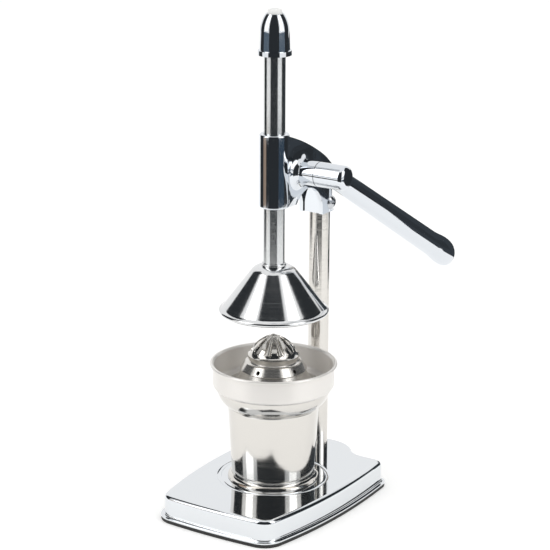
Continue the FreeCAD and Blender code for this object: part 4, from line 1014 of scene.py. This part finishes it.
class PRESS_OT_stage(bpy.types.Operator):
    """Build the pale floor, the dark cards, the lamps, the world and the camera"""
    bl_idname = "press.stage"
    bl_label = "Studio and camera"

    def execute(self, context):
        studio = context.scene.press_studio
        self.add_camera(context, studio)
        self.add_floor()
        self.add_cards(studio)
        self.add_lamps(studio)
        self.add_world(context)
        context.scene.view_settings.view_transform = "Standard"
        return {"FINISHED"}

    def add_camera(self, context, studio):
        data = bpy.data.cameras.new("photo_camera")
        data.sensor_width = SENSOR_MM
        data.lens = studio.focal_px / PICTURE_WIDE_PX * SENSOR_MM
        data.clip_start = 0.05
        data.clip_end = 50
        camera = bpy.data.objects.new("photo_camera", data)
        camera.matrix_world = camera_matrix(studio)
        context.scene.collection.objects.link(camera)
        context.scene.camera = camera

    def add_floor(self):
        bpy.ops.mesh.primitive_circle_add(
            vertices=128, radius=FLOOR_RADIUS, fill_type="NGON")
        floor = bpy.context.object
        floor.name = "floor"
        floor.data.materials.append(floor_material())

    def add_cards(self, studio):
        """Cards, placed by their angles from the camera and their heights above the table."""
        dark = card_material("dark_card", "#2f3235")
        soot = card_material("soot_grey_card", "#3c4146")
        blue = card_material("blue_grey_card", "#5d6a76")
        brown = card_material("brown_card", "#9c8878")
        navy = card_material("navy_card", "#3b4957")
        # Each card glows with its own tone and lights nothing: these glows are painted reflections,
        # the dark, blue and brown bands that the chrome shows.
        cards = (
            ("card_front", -44, 33, 0.02, 1.45, dark),
            ("card_right", 80, 128, 0.116, 1.05, dark),
            ("card_rear_right", 115.6, 160, 0.03, 0.33, soot),
            ("card_left", -130, -90, 0.05, 1.05, dark),
            ("card_left_tan", -90, -64, 0.114, 0.203, brown),
            ("card_left_inner", -64, -44, 0.114, 0.203, dark),
            ("card_right_navy", 33, 80, 0.114, 0.203, navy),
            ("card_left_high", -90, -44, 0.318, 0.362, blue),
            ("card_right_high", 33, 80, 0.318, 0.362, blue),
        )
        front = studio.azimuth - math.pi / 2
        for name, start, end, low, high, material in cards:
            arc_card(
                name, front + math.radians(start), front + math.radians(end),
                low, high, studio.card_radius, material)

    def add_lamps(self, studio):
        """Two tall soft boxes beside the camera, in the gaps between the dark cards."""
        front = studio.azimuth - math.pi / 2
        for name, angle in LAMPS:
            data = bpy.data.lights.new(name, "AREA")
            data.shape = "RECTANGLE"
            data.size = LAMP_WIDE
            data.size_y = LAMP_TALL
            data.energy = LAMP_WATTS
            lamp = bpy.data.objects.new(name, data)
            turn = front + math.radians(angle)
            place = Vector((math.cos(turn) * LAMP_REACH, math.sin(turn) * LAMP_REACH, LAMP_HEIGHT))
            lamp.location = place
            aim = Vector((0, 0, LAMP_AIM_HEIGHT)) - place
            lamp.rotation_euler = aim.to_track_quat("-Z", "Y").to_euler()
            lamp.visible_camera = False
            bpy.context.scene.collection.objects.link(lamp)

    def add_world(self, context):
        world = bpy.data.worlds.new("white_studio")
        context.scene.world = world
        world.use_nodes = True
        tree = world.node_tree
        tree.nodes.clear()
        seen = background_ray(tree)
        strength = add(tree, "ShaderNodeMapRange", {"Value": seen, "To Min": 0.8, "To Max": 1.0})
        sky = add(tree, "ShaderNodeBackground", {
            "Color": (1, 1, 1, 1), "Strength": strength.outputs["Result"],
        })
        add(tree, "ShaderNodeOutputWorld", {"Surface": sky.outputs["Background"]})


class PRESS_PT_panel(bpy.types.Panel):
    bl_idname = "PRESS_PT_panel"
    bl_label = "Citrus Press"
    bl_space_type = "VIEW_3D"
    bl_region_type = "UI"
    bl_category = "Citrus Press"

    def draw(self, context):
        layout = self.layout
        for step in STEPS:
            layout.operator(step.bl_idname)
        for group in (context.scene.press_finishes, context.scene.press_studio):
            box = layout.box()
            for name in group.bl_rna.properties.keys():
                if name not in ("rna_type", "name"):
                    box.prop(group, name)


STEPS = (
    PRESS_OT_stage,
    PRESS_OT_base,
    PRESS_OT_column,
    PRESS_OT_plunger,
    PRESS_OT_lever,
    PRESS_OT_cup,
)
CLASSES = (PressFinishes, PressStudio) + STEPS + (PRESS_PT_panel,)


def register():
    for cls in CLASSES:
        bpy.utils.register_class(cls)
    bpy.types.Scene.press_finishes = bpy.props.PointerProperty(type=PressFinishes)
    bpy.types.Scene.press_studio = bpy.props.PointerProperty(type=PressStudio)


def unregister():
    del bpy.types.Scene.press_studio
    del bpy.types.Scene.press_finishes
    for cls in reversed(CLASSES):
        bpy.utils.unregister_class(cls)


def main():
    register()
    for step in STEPS:
        group, name = step.bl_idname.split(".")
        getattr(getattr(bpy.ops, group), name)()


if __name__ == "__main__":
    main()
